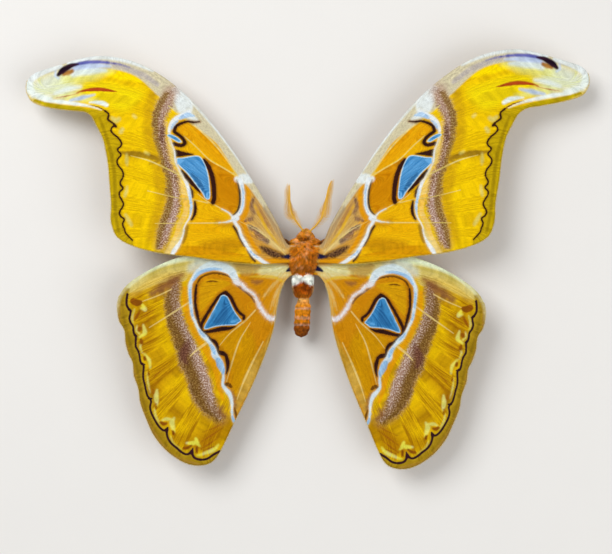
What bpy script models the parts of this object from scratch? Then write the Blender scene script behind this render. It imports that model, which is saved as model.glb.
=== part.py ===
"""A male atlas moth at life size, standing on its six feet with all four wings spread flat.

Metres, +Z up. +Y is the way the head points and +X is the moth's right. The origin lies on the
floor, under the middle of the wings' box. Lists of points and sizes are in millimetres.
"""

import math

import bmesh
import bpy
from mathutils import Matrix, Vector
from mathutils.geometry import delaunay_2d_cdt

MM = 0.001

# How the solids meet and how thick the thinnest of them are
FIT_GAP = 0.3
MEMBRANE = 0.5
SMOOTH_ANGLE = math.radians(50)

# The height of the wings' common surface over the floor, and its shape
WING_HEIGHT = 13.4
HALF_SPAN = 106.0
HALF_DEPTH = 78.0
SPAN_RISE = 2.6
DEPTH_DROOP = 2.6
TIP_DROOP = 4.2
TIP_DROOP_FROM = 66.0
PLEAT_HEIGHT = 0.32
PLEATS_PER_TURN = 11.0
PLEAT_FADE = 42.0
FOREWING_LIFT = 1.0
HINDWING_LIFT = -1.0

# How finely the wings are drawn
RIM_STEP = 3.2
VEIN_STEP = 6.5
FILL_STEP = 9.0
FILL_CLEARANCE = 3.2
RIM_CLEARANCE = 1.3

# A vein is a ridge that narrows and sinks from the wing's root to its margin
VEIN_HALF_WIDTH = 0.62
VEIN_HALF_WIDTH_AT_RIM = 0.42
VEIN_RISE = 0.42
VEIN_RISE_AT_RIM = 0.2
VEIN_REACH = 110.0

# Outline of the right forewing, from inside the thorax along the front edge and back
FOREWING_RIM = [
    (2.0, 4.9), (5.9, 5.6), (9.6, 13.4), (18.9, 29.2), (30.1, 45.7), (43.3, 60.9), (57.8, 72.2),
    (67.5, 76.4), (77.5, 78.0), (85.0, 77.3), (92.5, 75.3), (98.4, 73.8), (103.2, 72.1),
    (105.6, 69.9), (106.3, 67.0), (105.8, 64.0), (103.6, 61.0), (96.5, 58.6), (87.6, 56.7),
    (82.2, 55.6), (79.2, 53.5), (77.0, 49.8), (74.6, 44.8), (73.0, 37.5), (71.9, 28.6),
    (70.5, 20.2), (70.1, 13.6), (67.7, 8.1), (61.0, 4.5), (51.9, 2.2), (40.0, 0.7),
    (30.0, -0.9), (18.1, -2.0), (6.8, -1.7), (2.0, -0.9),
]
# Outline of the right hindwing. Its front edge runs under the forewing
HINDWING_RIM = [
    (2.0, -1.6), (8.0, 1.2), (19.0, 5.0), (31.0, 4.6), (41.3, 0.8), (50.0, -2.7), (57.5, -6.9),
    (63.4, -11.4), (66.4, -15.8), (67.1, -20.4), (66.2, -25.6), (64.2, -28.9), (63.5, -33.8),
    (62.3, -37.6), (60.7, -41.0), (60.2, -45.4), (58.4, -50.4), (57.5, -55.6), (55.1, -61.6),
    (52.1, -67.6), (47.4, -73.0), (41.2, -77.1), (35.8, -78.3), (31.0, -77.0), (28.2, -73.6),
    (23.2, -62.0), (15.8, -44.0), (10.7, -28.0), (9.2, -17.3), (7.9, -10.8), (5.2, -6.6),
    (2.0, -5.6),
]
FOREWING_VEINS = [
    # front edge vein, then the radial stem and its branches to the hooked tip
    [(7.4, 4.3), (13.0, 15.8), (22.6, 31.4), (34.4, 46.6), (48.0, 60.6), (64.0, 71.6)],
    [(7.2, 3.2), (15.6, 16.8), (24.4, 30.6), (31.5, 40.6), (38.5, 47.8), (45.0, 53.2), (53.0, 59.4),
     (62.0, 65.0), (74.0, 69.0), (86.0, 70.0), (97.5, 68.4)],
    [(24.4, 30.6), (31.0, 33.8), (36.6, 37.2), (44.6, 45.6), (52.6, 53.0), (64.0, 59.4), (80.0, 62.4),
     (97.0, 62.2)],
    [(44.6, 45.6), (55.0, 50.2), (66.0, 52.2), (75.4, 50.4)],
    # median and cubital branches to the outer edge
    [(7.6, 1.4), (15.8, 9.2), (25.2, 15.2), (35.2, 20.8), (39.6, 24.8), (43.6, 28.9), (47.6, 32.1),
     (52.4, 34.6), (60.0, 37.2), (71.6, 39.6)],
    [(35.2, 20.8), (41.0, 22.1), (46.6, 22.8), (57.4, 25.4), (70.2, 28.0)],
    [(25.2, 15.2), (29.4, 13.7), (42.8, 13.4), (56.0, 13.2), (68.6, 14.6)],
    # anal vein, near the hind edge
    [(7.8, 0.2), (17.0, 2.9), (30.0, 4.1), (45.0, 5.2), (61.0, 6.4)],
]
HINDWING_VEINS = [
    # along the front edge, then the radial stem and the branch that leaves it
    [(7.8, -1.9), (18.0, -0.6), (30.0, -1.4), (41.0, -3.4), (50.0, -5.8), (58.0, -9.8), (63.6, -14.0)],
    [(7.4, -3.0), (14.6, -5.4), (22.0, -8.6), (30.0, -9.7), (38.4, -10.4), (47.0, -13.2),
     (56.0, -17.4), (64.6, -21.8)],
    [(22.0, -8.6), (27.0, -11.8), (33.0, -14.4), (41.0, -17.8), (50.0, -23.4), (56.4, -27.6),
     (62.4, -31.2)],
    [(27.0, -11.8), (31.2, -18.6), (35.8, -26.6), (42.2, -31.9), (50.0, -37.3), (59.0, -41.6)],
    # the cubital stem and its branches
    [(7.6, -4.2), (13.0, -12.0), (17.0, -19.0), (22.0, -24.6), (27.6, -28.8), (34.6, -33.0),
     (39.0, -37.6), (43.6, -42.8), (49.2, -49.0), (56.4, -55.2)],
    [(22.0, -24.6), (26.4, -29.6), (30.6, -36.8), (36.0, -45.2), (42.0, -54.8), (50.4, -68.2)],
    [(17.0, -19.0), (20.8, -26.4), (24.0, -35.4), (27.6, -48.0), (31.2, -56.4), (35.0, -66.0),
     (37.8, -76.4)],
    # anal vein, near the inner edge
    [(7.2, -5.6), (10.6, -14.0), (12.9, -24.0), (15.6, -33.6), (19.0, -43.6), (23.2, -55.4),
     (28.4, -69.6)],
]
# How each wing is set about its hinge: turn forward in degrees, stretch sideways and forward
FOREWING_HINGE = (5.9, 2.0)
HINDWING_HINGE = (5.2, -4.2)
WING_SET = {
    "forewing_right": (0.0, 1.0, 1.0),
    "forewing_left": (-0.3, 1.0, 1.0),
    "hindwing_right": (0.0, 1.0, 1.0),
    "hindwing_left": (2.4, 1.03, 1.0),
}
# The left forewing grew a little unlike the right: a smaller hooked tip, a fuller hind corner
LEFT_TIP_SHIFT = (-2.6, -2.2)
LEFT_CORNER_SHIFT = 1.4

# The body as rings: y, x of the centre, half width, height of the centre, half height
HEAD_RINGS = [
    (7.3, 0.3, 3.1, 9.5, 2.9), (8.2, 0.35, 2.85, 9.4, 2.9), (9.3, 0.4, 2.1, 9.3, 2.6),
    (10.2, 0.45, 1.45, 9.2, 2.0), (10.8, 0.5, 0.95, 9.2, 1.3), (11.1, 0.5, 0.45, 9.2, 0.6),
]
THORAX_RINGS = [
    (7.0, 0.25, 2.9, 9.6, 3.0), (6.6, 0.2, 4.3, 10.0, 4.1), (5.7, 0.1, 5.5, 10.4, 5.0),
    (4.3, 0.0, 6.0, 10.7, 5.5), (2.2, -0.2, 5.8, 10.9, 5.8), (-0.5, -0.5, 5.1, 10.9, 5.8),
    (-3.0, -0.7, 4.4, 10.6, 5.3), (-4.9, -0.75, 3.95, 10.2, 4.7),
]
COLLAR_RINGS = [
    (-5.2, -0.75, 3.9, 10.1, 4.6), (-7.0, -0.8, 4.1, 9.9, 4.5), (-8.8, -0.75, 4.0, 9.7, 4.2),
    (-10.6, -0.7, 4.05, 9.5, 4.1), (-12.2, -0.7, 3.7, 9.2, 3.8), (-13.4, -0.7, 2.9, 9.0, 3.0),
    (-13.9, -0.65, 2.1, 8.9, 2.2),
]
# The abdomen's own rings hold its seven segments: each swells and then pinches in
ABDOMEN_START = -14.2
ABDOMEN_END = -28.9
ABDOMEN_SEGMENTS = 7
ABDOMEN_HALF_WIDTH = 3.0
ABDOMEN_HEIGHT_AT_START = 8.9
ABDOMEN_HEIGHT_AT_END = 6.9
ABDOMEN_LEAN = (-0.45, -1.3)
ABDOMEN_FLATTENING = 1.04
SEGMENT_PINCH = 0.09
BODY_SIDES = 20

EYE_RADIUS = 1.2
EYE_CENTRE = (1.95, 8.7, 8.4)
PALP_RADIUS = 0.6
PALP_LENGTH = 2.0
PALP_ROOT = (0.7, 8.8, 7.5)

# Each antenna's shaft, right and left, and its comb of rays
ANTENNA_SHAFTS = {
    "right": [(1.5, 9.3, 10.1), (2.2, 10.6, 10.8), (3.8, 12.1, 11.6), (5.3, 13.9, 12.3), (6.5, 15.8, 12.8),
              (7.4, 18.7, 13.2), (8.1, 22.6, 13.3), (8.9, 26.3, 13.1), (9.9, 29.0, 12.6)],
    "left": [(-0.3, 9.4, 10.1), (-0.9, 11.0, 10.8), (-2.3, 12.9, 11.6), (-3.7, 14.9, 12.3),
             (-4.9, 17.0, 12.8), (-5.4, 19.4, 13.2), (-5.6, 23.3, 13.3), (-5.7, 27.3, 12.8)],
}
SHAFT_RADIUS = 0.36
SHAFT_RADIUS_AT_TIP = 0.22
RAY_PITCH = 0.95
FIRST_RAY = 2.6
RAY_LENGTH = 3.3
RAY_ROOT_RADIUS = 0.25
RAY_TIP_RADIUS = 0.09
RAY_SIDES = 5
RAY_LEAN = math.radians(34)
RAY_DROOP = math.radians(-22)
COMB_ROLL = math.radians(62)

# Legs of the right side: from inside the thorax to the knee, the shin's end and along the foot
LEGS = {
    "foreleg": [(1.9, 4.4, 8.6), (2.9, 5.6, 5.5), (9.6, 9.8, 8.2), (12.8, 13.2, 2.5),
                (14.2, 14.7, 0.9), (15.4, 15.9, 0.24), (17.8, 18.3, 0.22)],
    "midleg": [(2.6, 0.6, 8.4), (3.8, 0.8, 5.1), (12.6, 1.9, 8.4), (17.8, 2.5, 2.5),
               (19.4, 2.8, 0.9), (21.2, 3.05, 0.24), (24.6, 3.55, 0.22)],
    "hindleg": [(2.2, -2.9, 8.4), (3.2, -3.4, 5.3), (10.0, -8.2, 8.2), (14.2, -12.4, 2.5),
                (15.4, -13.6, 0.9), (16.7, -14.9, 0.24), (19.3, -17.3, 0.22)],
}
LEG_RADII = (1.05, 1.0, 0.85, 0.62, 0.5, 0.42, 0.36)
LEG_STEP = 1.3
LEG_CORNER = 0.22


def material(name, colour, roughness):
    """A plain Principled BSDF of that colour."""
    made = bpy.data.materials.new(name)
    made.use_nodes = True
    shader = made.node_tree.nodes["Principled BSDF"]
    shader.inputs["Base Color"].default_value = (*colour, 1.0)
    shader.inputs["Roughness"].default_value = roughness
    shader.inputs["Metallic"].default_value = 0.0
    return made


def new_object(name, mesh, collection, finish=None):
    """An object in its collection. A finish is its material, and makes it shaded smooth."""
    made = bpy.data.objects.new(name, mesh)
    collection.objects.link(made)
    if finish:
        mesh.materials.append(finish)
        mesh.shade_smooth()
        mesh.set_sharp_from_angle(angle=SMOOTH_ANGLE)
    return made


def mesh_from(bm, name):
    """The mesh of a bmesh, with its faces turned outwards and its millimetres made metres."""
    bmesh.ops.recalc_face_normals(bm, faces=bm.faces)
    bm.transform(Matrix.Scale(MM, 4))
    mesh = bpy.data.meshes.new(name)
    bm.to_mesh(mesh)
    bm.free()
    return mesh


def smooth_line(points, step, closed=False):
    """Points every step or so along a smooth curve through the given ones."""
    points = [Vector(p) for p in points]
    count = len(points)
    line = []
    for i in range(count if closed else count - 1):
        p1, p2 = points[i], points[(i + 1) % count]
        p0 = points[i - 1] if closed or i > 0 else p1
        p3 = points[(i + 2) % count] if closed or i + 2 < count else p2
        length = (p2 - p1).length
        start = (p2 - p0) * length / max((p2 - p1).length + (p1 - p0).length, 1e-6)
        end = (p3 - p1) * length / max((p3 - p2).length + length, 1e-6)
        parts = max(1, round(length / step))
        for k in range(parts):
            t = k / parts
            line.append(
                p1 * (2 * t**3 - 3 * t**2 + 1) + start * (t**3 - 2 * t**2 + t)
                + p2 * (3 * t**2 - 2 * t**3) + end * (t**3 - t**2)
            )
    if not closed:
        line.append(points[-1])
    return line


def ease(t):
    """0 to 1 with a smooth start and end."""
    t = min(1.0, max(0.0, t))
    return t * t * (3 - 2 * t)


def wing_surface(x, y):
    """Height of the surface that both wings of a side follow, in millimetres."""
    out = abs(x)
    reach = math.hypot(x, y)
    rise = SPAN_RISE * math.sin(math.pi * min(out / (HALF_SPAN * 1.15), 1.0))
    droop = DEPTH_DROOP * (y / HALF_DEPTH) ** 2
    tip = TIP_DROOP * ease((out - TIP_DROOP_FROM) / (HALF_SPAN - TIP_DROOP_FROM))
    pleat = PLEAT_HEIGHT * math.sin(PLEATS_PER_TURN * math.atan2(y, out)) * ease(reach / PLEAT_FADE)
    return WING_HEIGHT + rise - droop - tip + pleat


def set_wing(point, hinge, turn, sideways, forward):
    """Turns and stretches a point of a right wing's plan about the wing's hinge."""
    x = (point[0] - hinge[0]) * sideways
    y = (point[1] - hinge[1]) * forward
    c, s = math.cos(math.radians(turn)), math.sin(math.radians(turn))
    return hinge[0] + x * c - y * s, hinge[1] + x * s + y * c


def grow_left(x, y):
    """Moves a point of the left forewing's plan from where the right wing has it."""
    tip = ease((y + 0.35 * x - 76) / 20)
    corner = ease((34 - y) / 22) * x / 70
    return x + LEFT_TIP_SHIFT[0] * tip + LEFT_CORNER_SHIFT * corner, y + LEFT_TIP_SHIFT[1] * tip


def beside(line, offsets):
    """The line moved sideways in the plan by an offset for each of its points."""
    moved = []
    for i, p in enumerate(line):
        along = (line[min(i + 1, len(line) - 1)] - line[max(i - 1, 0)]).normalized()
        moved.append(Vector((p.x - along.y * offsets[i], p.y + along.x * offsets[i])))
    return moved


def distance_to(line, p):
    """Distance from p to a line of points, in the plan."""
    best = 1e9
    for a, b in zip(line, line[1:]):
        d = b - a
        t = min(1.0, max(0.0, (p - a).dot(d) / max(d.length_squared, 1e-9)))
        best = min(best, (p - a - d * t).length)
    return best


def inside(rim, p):
    """True if p lies inside the closed rim, in the plan."""
    found = False
    for a, b in zip(rim, rim[1:] + rim[:1]):
        if (a.y > p.y) != (b.y > p.y) and p.x < (b.x - a.x) * (p.y - a.y) / (b.y - a.y) + a.x:
            found = not found
    return found


def at_reach(p, near, far):
    """A vein's size at p, which goes from near at the wing's root to far at its margin."""
    return near + (far - near) * min(1.0, p.length / VEIN_REACH)


def wing_plan(rim_points, vein_points):
    """The flat wing: its points, its triangles, its rim and its veins' middle lines."""
    rim = smooth_line(rim_points, RIM_STEP, closed=True)
    veins = [smooth_line(v, VEIN_STEP) for v in vein_points]
    points = list(rim)
    edges = [(i, (i + 1) % len(rim)) for i in range(len(rim))]
    lines = []
    for vein in veins:
        half = [at_reach(p, VEIN_HALF_WIDTH, VEIN_HALF_WIDTH_AT_RIM) for p in vein]
        for side in (-1, 0, 1):
            lines.append(beside(vein, [side * h for h in half]))
    for line in lines:
        first = len(points)
        points += line
        edges += [(first + i, first + i + 1) for i in range(len(line) - 1)]
    top = max(p.y for p in rim)
    rows = int(HALF_SPAN * 2 / FILL_STEP)
    for row in range(rows):
        for column in range(rows):
            p = Vector(((column + row % 2 / 2) * FILL_STEP, top - row * FILL_STEP * math.sqrt(0.75)))
            if not inside(rim, p) or distance_to(rim + rim[:1], p) < FILL_CLEARANCE:
                continue
            if min(distance_to(v, p) for v in veins) > FILL_CLEARANCE:
                points.append(p)
    found, _, faces, *_ = delaunay_2d_cdt(points, edges, [list(range(len(rim)))], 1, 1e-4)
    return [Vector(p) for p in found], faces, rim, veins


def ridge_at(p, veins, rim):
    """How far the vein nearest to p stands out of the membrane there."""
    half = at_reach(p, VEIN_HALF_WIDTH, VEIN_HALF_WIDTH_AT_RIM)
    nearest = min(distance_to(v, p) for v in veins)
    fade = ease(distance_to(rim + rim[:1], p) / RIM_CLEARANCE)
    return at_reach(p, VEIN_RISE, VEIN_RISE_AT_RIM) * max(0.0, 1 - nearest / half) * fade


def wing(name, plan, hinge, lift, finish, collection):
    """One wing as a membrane with raised veins. Both faces have the same triangles."""
    points, faces, rim, veins = plan
    mirror = -1 if name.endswith("left") else 1
    bm = bmesh.new()
    upper, lower = [], []
    for p in points:
        x, y = set_wing(p, hinge, *WING_SET[name])
        if name == "forewing_left":
            x, y = grow_left(x, y)
        x *= mirror
        middle = wing_surface(x, y) + lift
        half = MEMBRANE / 2 + ridge_at(p, veins, rim)
        upper.append(bm.verts.new((x, y, middle + half)))
        lower.append(bm.verts.new((x, y, middle - half)))
    used = {}
    for face in faces:
        bm.faces.new([upper[i] for i in face])
        bm.faces.new([lower[i] for i in reversed(face)])
        for a, b in zip(face, face[1:] + face[:1]):
            used[(a, b)] = used.get((a, b), 0) + 1
    for a, b in [edge for edge in used if (edge[1], edge[0]) not in used]:
        bm.faces.new([upper[b], upper[a], lower[a], lower[b]])
    bmesh.ops.triangulate(bm, faces=[f for f in bm.faces if len(f.verts) > 3])
    bmesh.ops.delete(bm, geom=[v for v in bm.verts if not v.link_faces], context="VERTS")
    return new_object(name, mesh_from(bm, name), collection, finish)


def lofted(name, rings, collection, finish=None, grown=0.0, sides=BODY_SIDES):
    """A closed body through ellipses that stand across Y, grown outwards by a margin."""
    bm = bmesh.new()
    loops = []
    for index, (y, x, half_width, z, half_height) in enumerate(rings):
        ends = {0: 1, len(rings) - 1: -1}
        push = ends.get(index, 0) * grown * (1 if rings[0][0] > rings[-1][0] else -1)
        loops.append([
            bm.verts.new((
                x + (half_width + grown) * math.cos(2 * math.pi * k / sides),
                y + push,
                z + (half_height + grown) * math.sin(2 * math.pi * k / sides),
            ))
            for k in range(sides)
        ])
    for a, b in zip(loops, loops[1:]):
        for k in range(sides):
            bm.faces.new([a[k], a[(k + 1) % sides], b[(k + 1) % sides], b[k]])
    bm.faces.new(loops[0])
    bm.faces.new(list(reversed(loops[-1])))
    return new_object(name, mesh_from(bm, name), collection, finish)


def abdomen_rings():
    """Rings of the segmented abdomen, from the waist to its blunt end."""
    rings = []
    steps = ABDOMEN_SEGMENTS * 3
    for k in range(steps + 1):
        t = k / steps
        taper = 0.68 + 0.32 * ease(t / 0.3)
        close = math.sqrt(max(0.0, 1 - max(0.0, (t - 0.72) / 0.285) ** 2.6))
        pinch = 1 - SEGMENT_PINCH * (k % 3 == 0) * (0 < k < steps)
        half = ABDOMEN_HALF_WIDTH * taper * close * pinch
        rings.append((
            ABDOMEN_START + (ABDOMEN_END - ABDOMEN_START) * t,
            ABDOMEN_LEAN[0] + (ABDOMEN_LEAN[1] - ABDOMEN_LEAN[0]) * t,
            half,
            ABDOMEN_HEIGHT_AT_START + (ABDOMEN_HEIGHT_AT_END - ABDOMEN_HEIGHT_AT_START) * t * t,
            half * ABDOMEN_FLATTENING,
        ))
    return rings


def ball(name, centre, radius, collection, finish=None, segments=16):
    """A round eye, or the cutter that makes its socket."""
    bm = bmesh.new()
    bmesh.ops.create_uvsphere(bm, u_segments=segments, v_segments=segments // 2 + 2, radius=radius)
    bm.transform(Matrix.Translation(centre) @ Matrix.Rotation(math.pi / 2, 4, "Y"))
    return new_object(name, mesh_from(bm, name), collection, finish)


def spike(name, root, direction, length, root_radius, tip_radius, collection, sides=RAY_SIDES):
    """A closed cone from root along direction: one ray of an antenna, or a palp."""
    bm = bmesh.new()
    bmesh.ops.create_cone(
        bm, cap_ends=True, segments=sides, radius1=root_radius, radius2=tip_radius, depth=length
    )
    turn = direction.to_track_quat("Z", "Y").to_matrix().to_4x4()
    bm.transform(Matrix.Translation(root) @ turn @ Matrix.Translation((0, 0, length / 2)))
    bmesh.ops.triangulate(bm, faces=[f for f in bm.faces if len(f.verts) > 4])
    return new_object(name, mesh_from(bm, name), collection)


def tube(name, path, radii, collection, finish=None, resolution=2):
    """A curve with a round bevel and closed ends, made a mesh with its caps welded."""
    curve = bpy.data.curves.new(name + "_path", "CURVE")
    curve.dimensions = "3D"
    curve.bevel_depth = MM
    curve.bevel_resolution = resolution
    curve.use_fill_caps = True
    spline = curve.splines.new("POLY")
    spline.points.add(len(path) - 1)
    for point, place, radius in zip(spline.points, path, radii):
        point.co = (*(Vector(place) * MM), 1.0)
        point.radius = radius
    guide = new_object(name + "_path", curve, collection)
    bpy.context.view_layer.update()
    evaluated = guide.evaluated_get(bpy.context.evaluated_depsgraph_get())
    mesh = bpy.data.meshes.new_from_object(evaluated)
    bpy.data.objects.remove(guide)
    bm = bmesh.new()
    bm.from_mesh(mesh)
    bmesh.ops.remove_doubles(bm, verts=bm.verts, dist=MM * 0.001)
    bmesh.ops.recalc_face_normals(bm, faces=bm.faces)
    bm.to_mesh(mesh)
    bm.free()
    mesh.materials.clear()
    return new_object(name, mesh, collection, finish)


def apply_boolean(target, operation, others, solver):
    """Applies one Boolean with every object of a collection, then removes those objects."""
    modifier = target.modifiers.new("fit", "BOOLEAN")
    modifier.operation = operation
    modifier.operand_type = "COLLECTION"
    modifier.collection = others
    modifier.solver = solver
    bpy.context.view_layer.update()
    evaluated = target.evaluated_get(bpy.context.evaluated_depsgraph_get())
    result = bpy.data.meshes.new_from_object(evaluated)
    target.modifiers.clear()
    target.data = result
    keep_largest(result)
    for other in list(others.objects):
        bpy.data.objects.remove(other)
    bpy.data.collections.remove(others)


def keep_largest(mesh):
    """Deletes all but the largest closed surface of the mesh."""
    bm = bmesh.new()
    bm.from_mesh(mesh)
    bmesh.ops.remove_doubles(bm, verts=bm.verts, dist=MM * 0.002)
    left = set(bm.faces)
    islands = []
    while left:
        island, edge = set(), [left.pop()]
        while edge:
            face = edge.pop()
            island.add(face)
            near = {g for e in face.edges for g in e.link_faces} & left
            left -= near
            edge += near
        islands.append(island)
    largest = max(islands, key=lambda faces: sum(f.calc_area() for f in faces))
    spare = [f for island in islands if island is not largest for f in island]
    bmesh.ops.delete(bm, geom=spare, context="FACES")
    bm.to_mesh(mesh)
    bm.free()


def helper_collection(name):
    made = bpy.data.collections.new(name)
    bpy.context.scene.collection.children.link(made)
    return made


def leg_path(points):
    """The leg's middle line, bent at its joints, and the radius at each of its points."""
    path, radii = [], []
    corners = [Vector(p) for p in points]
    for i in range(len(corners) - 1):
        a, b = corners[i], corners[i + 1]
        parts = max(2, round((b - a).length / LEG_STEP / 2))
        for k in range(parts):
            t = (k + LEG_CORNER) / (parts - 1 + 2 * LEG_CORNER) if 0 < i else k / parts
            swell = 1 + 0.12 * math.sin(math.pi * t)
            path.append(a.lerp(b, t))
            radii.append((LEG_RADII[i] * (1 - t) + LEG_RADII[i + 1] * t) * swell)
    path.append(corners[-1])
    radii.append(LEG_RADII[-1])
    return path, radii


def leg(name, points, collection, finish):
    """One leg, with the underside of its foot flat on the floor."""
    mirror = -1 if name.endswith("left") else 1
    path, radii = leg_path([(x * mirror, y, z) for x, y, z in points])
    made = tube(name, path, radii, collection, finish)
    for vertex in made.data.vertices:
        vertex.co.z = max(0.0, vertex.co.z)
    return made


def antenna(side, collection, finish):
    """A feathered antenna: a tapering shaft with a slanted comb of rays on each side."""
    outward = -1 if side == "left" else 1
    shaft = smooth_line(ANTENNA_SHAFTS[side], RAY_PITCH)
    last = len(shaft) - 1
    radii = [SHAFT_RADIUS + (SHAFT_RADIUS_AT_TIP - SHAFT_RADIUS) * i / last for i in range(last + 1)]
    made = tube(f"antenna_{side}", shaft, radii, collection, finish)
    rays = helper_collection(f"rays_{side}")
    walked = 0.0
    for i in range(1, last):
        walked += (shaft[i] - shaft[i - 1]).length
        if walked < FIRST_RAY:
            continue
        t = i / last
        along = (shaft[i + 1] - shaft[i - 1]).normalized()
        lateral = along.cross(Vector((0, 0, 1))).normalized() * outward
        up = lateral.cross(along).normalized() * outward
        roll = COMB_ROLL * ease((t - 0.25) / 0.4)
        length = RAY_LENGTH * (0.35 + 0.65 * ease(t / 0.35)) * (1 - 0.6 * ease((t - 0.75) / 0.3))
        for angle in (RAY_DROOP + roll, math.pi - RAY_DROOP + roll):
            across = lateral * math.cos(angle) + up * math.sin(angle)
            direction = along * math.sin(RAY_LEAN) + across * math.cos(RAY_LEAN)
            spike("ray", shaft[i], direction, length, RAY_ROOT_RADIUS, RAY_TIP_RADIUS, rays)
    apply_boolean(made, "UNION", rays, "MANIFOLD")
    return made


def head(collection, finish):
    """The head with its two short palps, hollowed where the eyes sit."""
    made = lofted("head", HEAD_RINGS, collection, finish)
    palps = helper_collection("palps")
    for mirror in (-1, 1):
        x, y, z = PALP_ROOT
        root = Vector((HEAD_RINGS[1][1] + x * mirror, y, z))
        spike("palp", root, Vector((0.12 * mirror, 1.0, -0.25)), PALP_LENGTH, PALP_RADIUS,
              PALP_RADIUS * 0.5, palps, sides=10)
    apply_boolean(made, "UNION", palps, "EXACT")
    sockets = helper_collection("sockets")
    for mirror in (-1, 1):
        ball("socket", eye_centre(mirror), EYE_RADIUS + FIT_GAP, sockets)
    apply_boolean(made, "DIFFERENCE", sockets, "EXACT")
    return made


def eye_centre(mirror):
    x, y, z = EYE_CENTRE
    return Vector((HEAD_RINGS[1][1] + x * mirror, y, z))


def cut_to(target, name, *bodies):
    """Cuts the target back to a fit gap from bodies that are given as their rings."""
    cutters = helper_collection(name)
    for index, rings in enumerate(bodies):
        lofted(f"{name}_{index}", rings, cutters, grown=FIT_GAP)
    apply_boolean(target, "DIFFERENCE", cutters, "EXACT")


def clear_scene():
    for obj in list(bpy.data.objects):
        bpy.data.objects.remove(obj)


def hang(body, name, place):
    """Moves a node's own origin to a place in millimetres and parents it to the moth's empty."""
    obj = bpy.data.objects[name]
    place = Vector(place) * MM
    obj.data.transform(Matrix.Translation(-place))
    obj.location = place
    obj.parent = body


def main():
    clear_scene()
    moth = helper_collection("atlas_moth")
    body = new_object("moth", None, moth)
    orange = material("thorax_fur", (0.50, 0.19, 0.03), 0.9)
    rust = material("rust_fur", (0.36, 0.11, 0.02), 0.9)
    tan = material("abdomen_fur", (0.52, 0.27, 0.06), 0.9)
    yellow = material("wing_scales", (0.66, 0.42, 0.02), 0.7)
    ochre = material("antenna_ochre", (0.50, 0.30, 0.03), 0.7)
    leg_brown = material("leg_fur", (0.40, 0.15, 0.03), 0.9)
    eye_black = material("eye_black", (0.02, 0.01, 0.01), 0.2)

    lofted("thorax", THORAX_RINGS, moth, orange)
    lofted("abdomen_base", COLLAR_RINGS, moth, rust)
    lofted("abdomen", abdomen_rings(), moth, tan)
    head(moth, orange)
    for side, mirror in (("left", -1), ("right", 1)):
        ball(f"eye_{side}", eye_centre(mirror), EYE_RADIUS, moth, eye_black)
        cut_to(antenna(side, moth, ochre), f"head_{side}", HEAD_RINGS)
        for kind, points in LEGS.items():
            name = f"{kind}_{side}"
            cut_to(leg(name, points, moth, leg_brown), f"thorax_{name}", THORAX_RINGS, COLLAR_RINGS)

    forewing = wing_plan(FOREWING_RIM, FOREWING_VEINS)
    hindwing = wing_plan(HINDWING_RIM, HINDWING_VEINS)
    for side in ("left", "right"):
        front = wing(f"forewing_{side}", forewing, FOREWING_HINGE, FOREWING_LIFT, yellow, moth)
        hind = wing(f"hindwing_{side}", hindwing, HINDWING_HINGE, HINDWING_LIFT, yellow, moth)
        cut_to(front, f"body_front_{side}", THORAX_RINGS)
        cut_to(hind, f"body_hind_{side}", THORAX_RINGS, COLLAR_RINGS)

    for name, rings in (("thorax", THORAX_RINGS), ("head", HEAD_RINGS), ("abdomen_base", COLLAR_RINGS),
                        ("abdomen", abdomen_rings())):
        y, x, _, z, _ = rings[0]
        hang(body, name, (x, y, z))
    for side, mirror in (("left", -1), ("right", 1)):
        hang(body, f"eye_{side}", eye_centre(mirror))
        hang(body, f"antenna_{side}", ANTENNA_SHAFTS[side][0])
        for kind, points in LEGS.items():
            x, y, z = points[0]
            hang(body, f"{kind}_{side}", (x * mirror, y, z))
        for kind, (x, y), lift in (("forewing", FOREWING_HINGE, FOREWING_LIFT),
                                   ("hindwing", HINDWING_HINGE, HINDWING_LIFT)):
            hang(body, f"{kind}_{side}", (x * mirror, y, WING_HEIGHT + lift))


main()
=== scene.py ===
# %% [markdown]
# # An atlas moth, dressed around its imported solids
# The real moth is a furry body the length of a finger joint between four broad wings. The packed
# solids say where every wing, leg and feeler is, and they never move here. Each is dressed with a
# finer piece in the same place. Plan measures are in millimetres, with +Y towards the head, +X to
# the moth's right and the floor at zero, because a wing is easier to draw that way.

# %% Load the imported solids
import math
from functools import partial

import bmesh
import bpy
import numpy as np
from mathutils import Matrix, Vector
from mathutils.geometry import delaunay_2d_cdt


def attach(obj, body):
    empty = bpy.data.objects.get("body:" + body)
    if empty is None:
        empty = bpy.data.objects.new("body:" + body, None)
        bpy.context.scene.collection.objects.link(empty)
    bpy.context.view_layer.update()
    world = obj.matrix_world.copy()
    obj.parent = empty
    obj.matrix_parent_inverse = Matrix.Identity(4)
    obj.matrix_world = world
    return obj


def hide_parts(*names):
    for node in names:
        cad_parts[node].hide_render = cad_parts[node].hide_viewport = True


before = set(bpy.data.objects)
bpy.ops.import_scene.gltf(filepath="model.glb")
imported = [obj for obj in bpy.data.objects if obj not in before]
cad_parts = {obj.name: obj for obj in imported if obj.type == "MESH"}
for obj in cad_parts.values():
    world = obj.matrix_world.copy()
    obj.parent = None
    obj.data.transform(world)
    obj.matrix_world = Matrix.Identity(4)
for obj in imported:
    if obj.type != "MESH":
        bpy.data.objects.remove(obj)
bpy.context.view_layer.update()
MM = 0.001

# %% [markdown]
# ## Camera
# The photograph looks straight down on a moth that lies flat. A long lens at arm's length keeps the
# wings free of perspective, as there. One pixel of the picture is a known length at the wings, so
# the distance follows from the lens.

# %% Camera straight above
IMAGE_WIDTH = 612
PIXEL = 0.37
WING_LEVEL = 14.5
VIEW_CENTRE = (0.48, -6.66)
LENS = 100.0
SENSOR = 36.0

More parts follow.
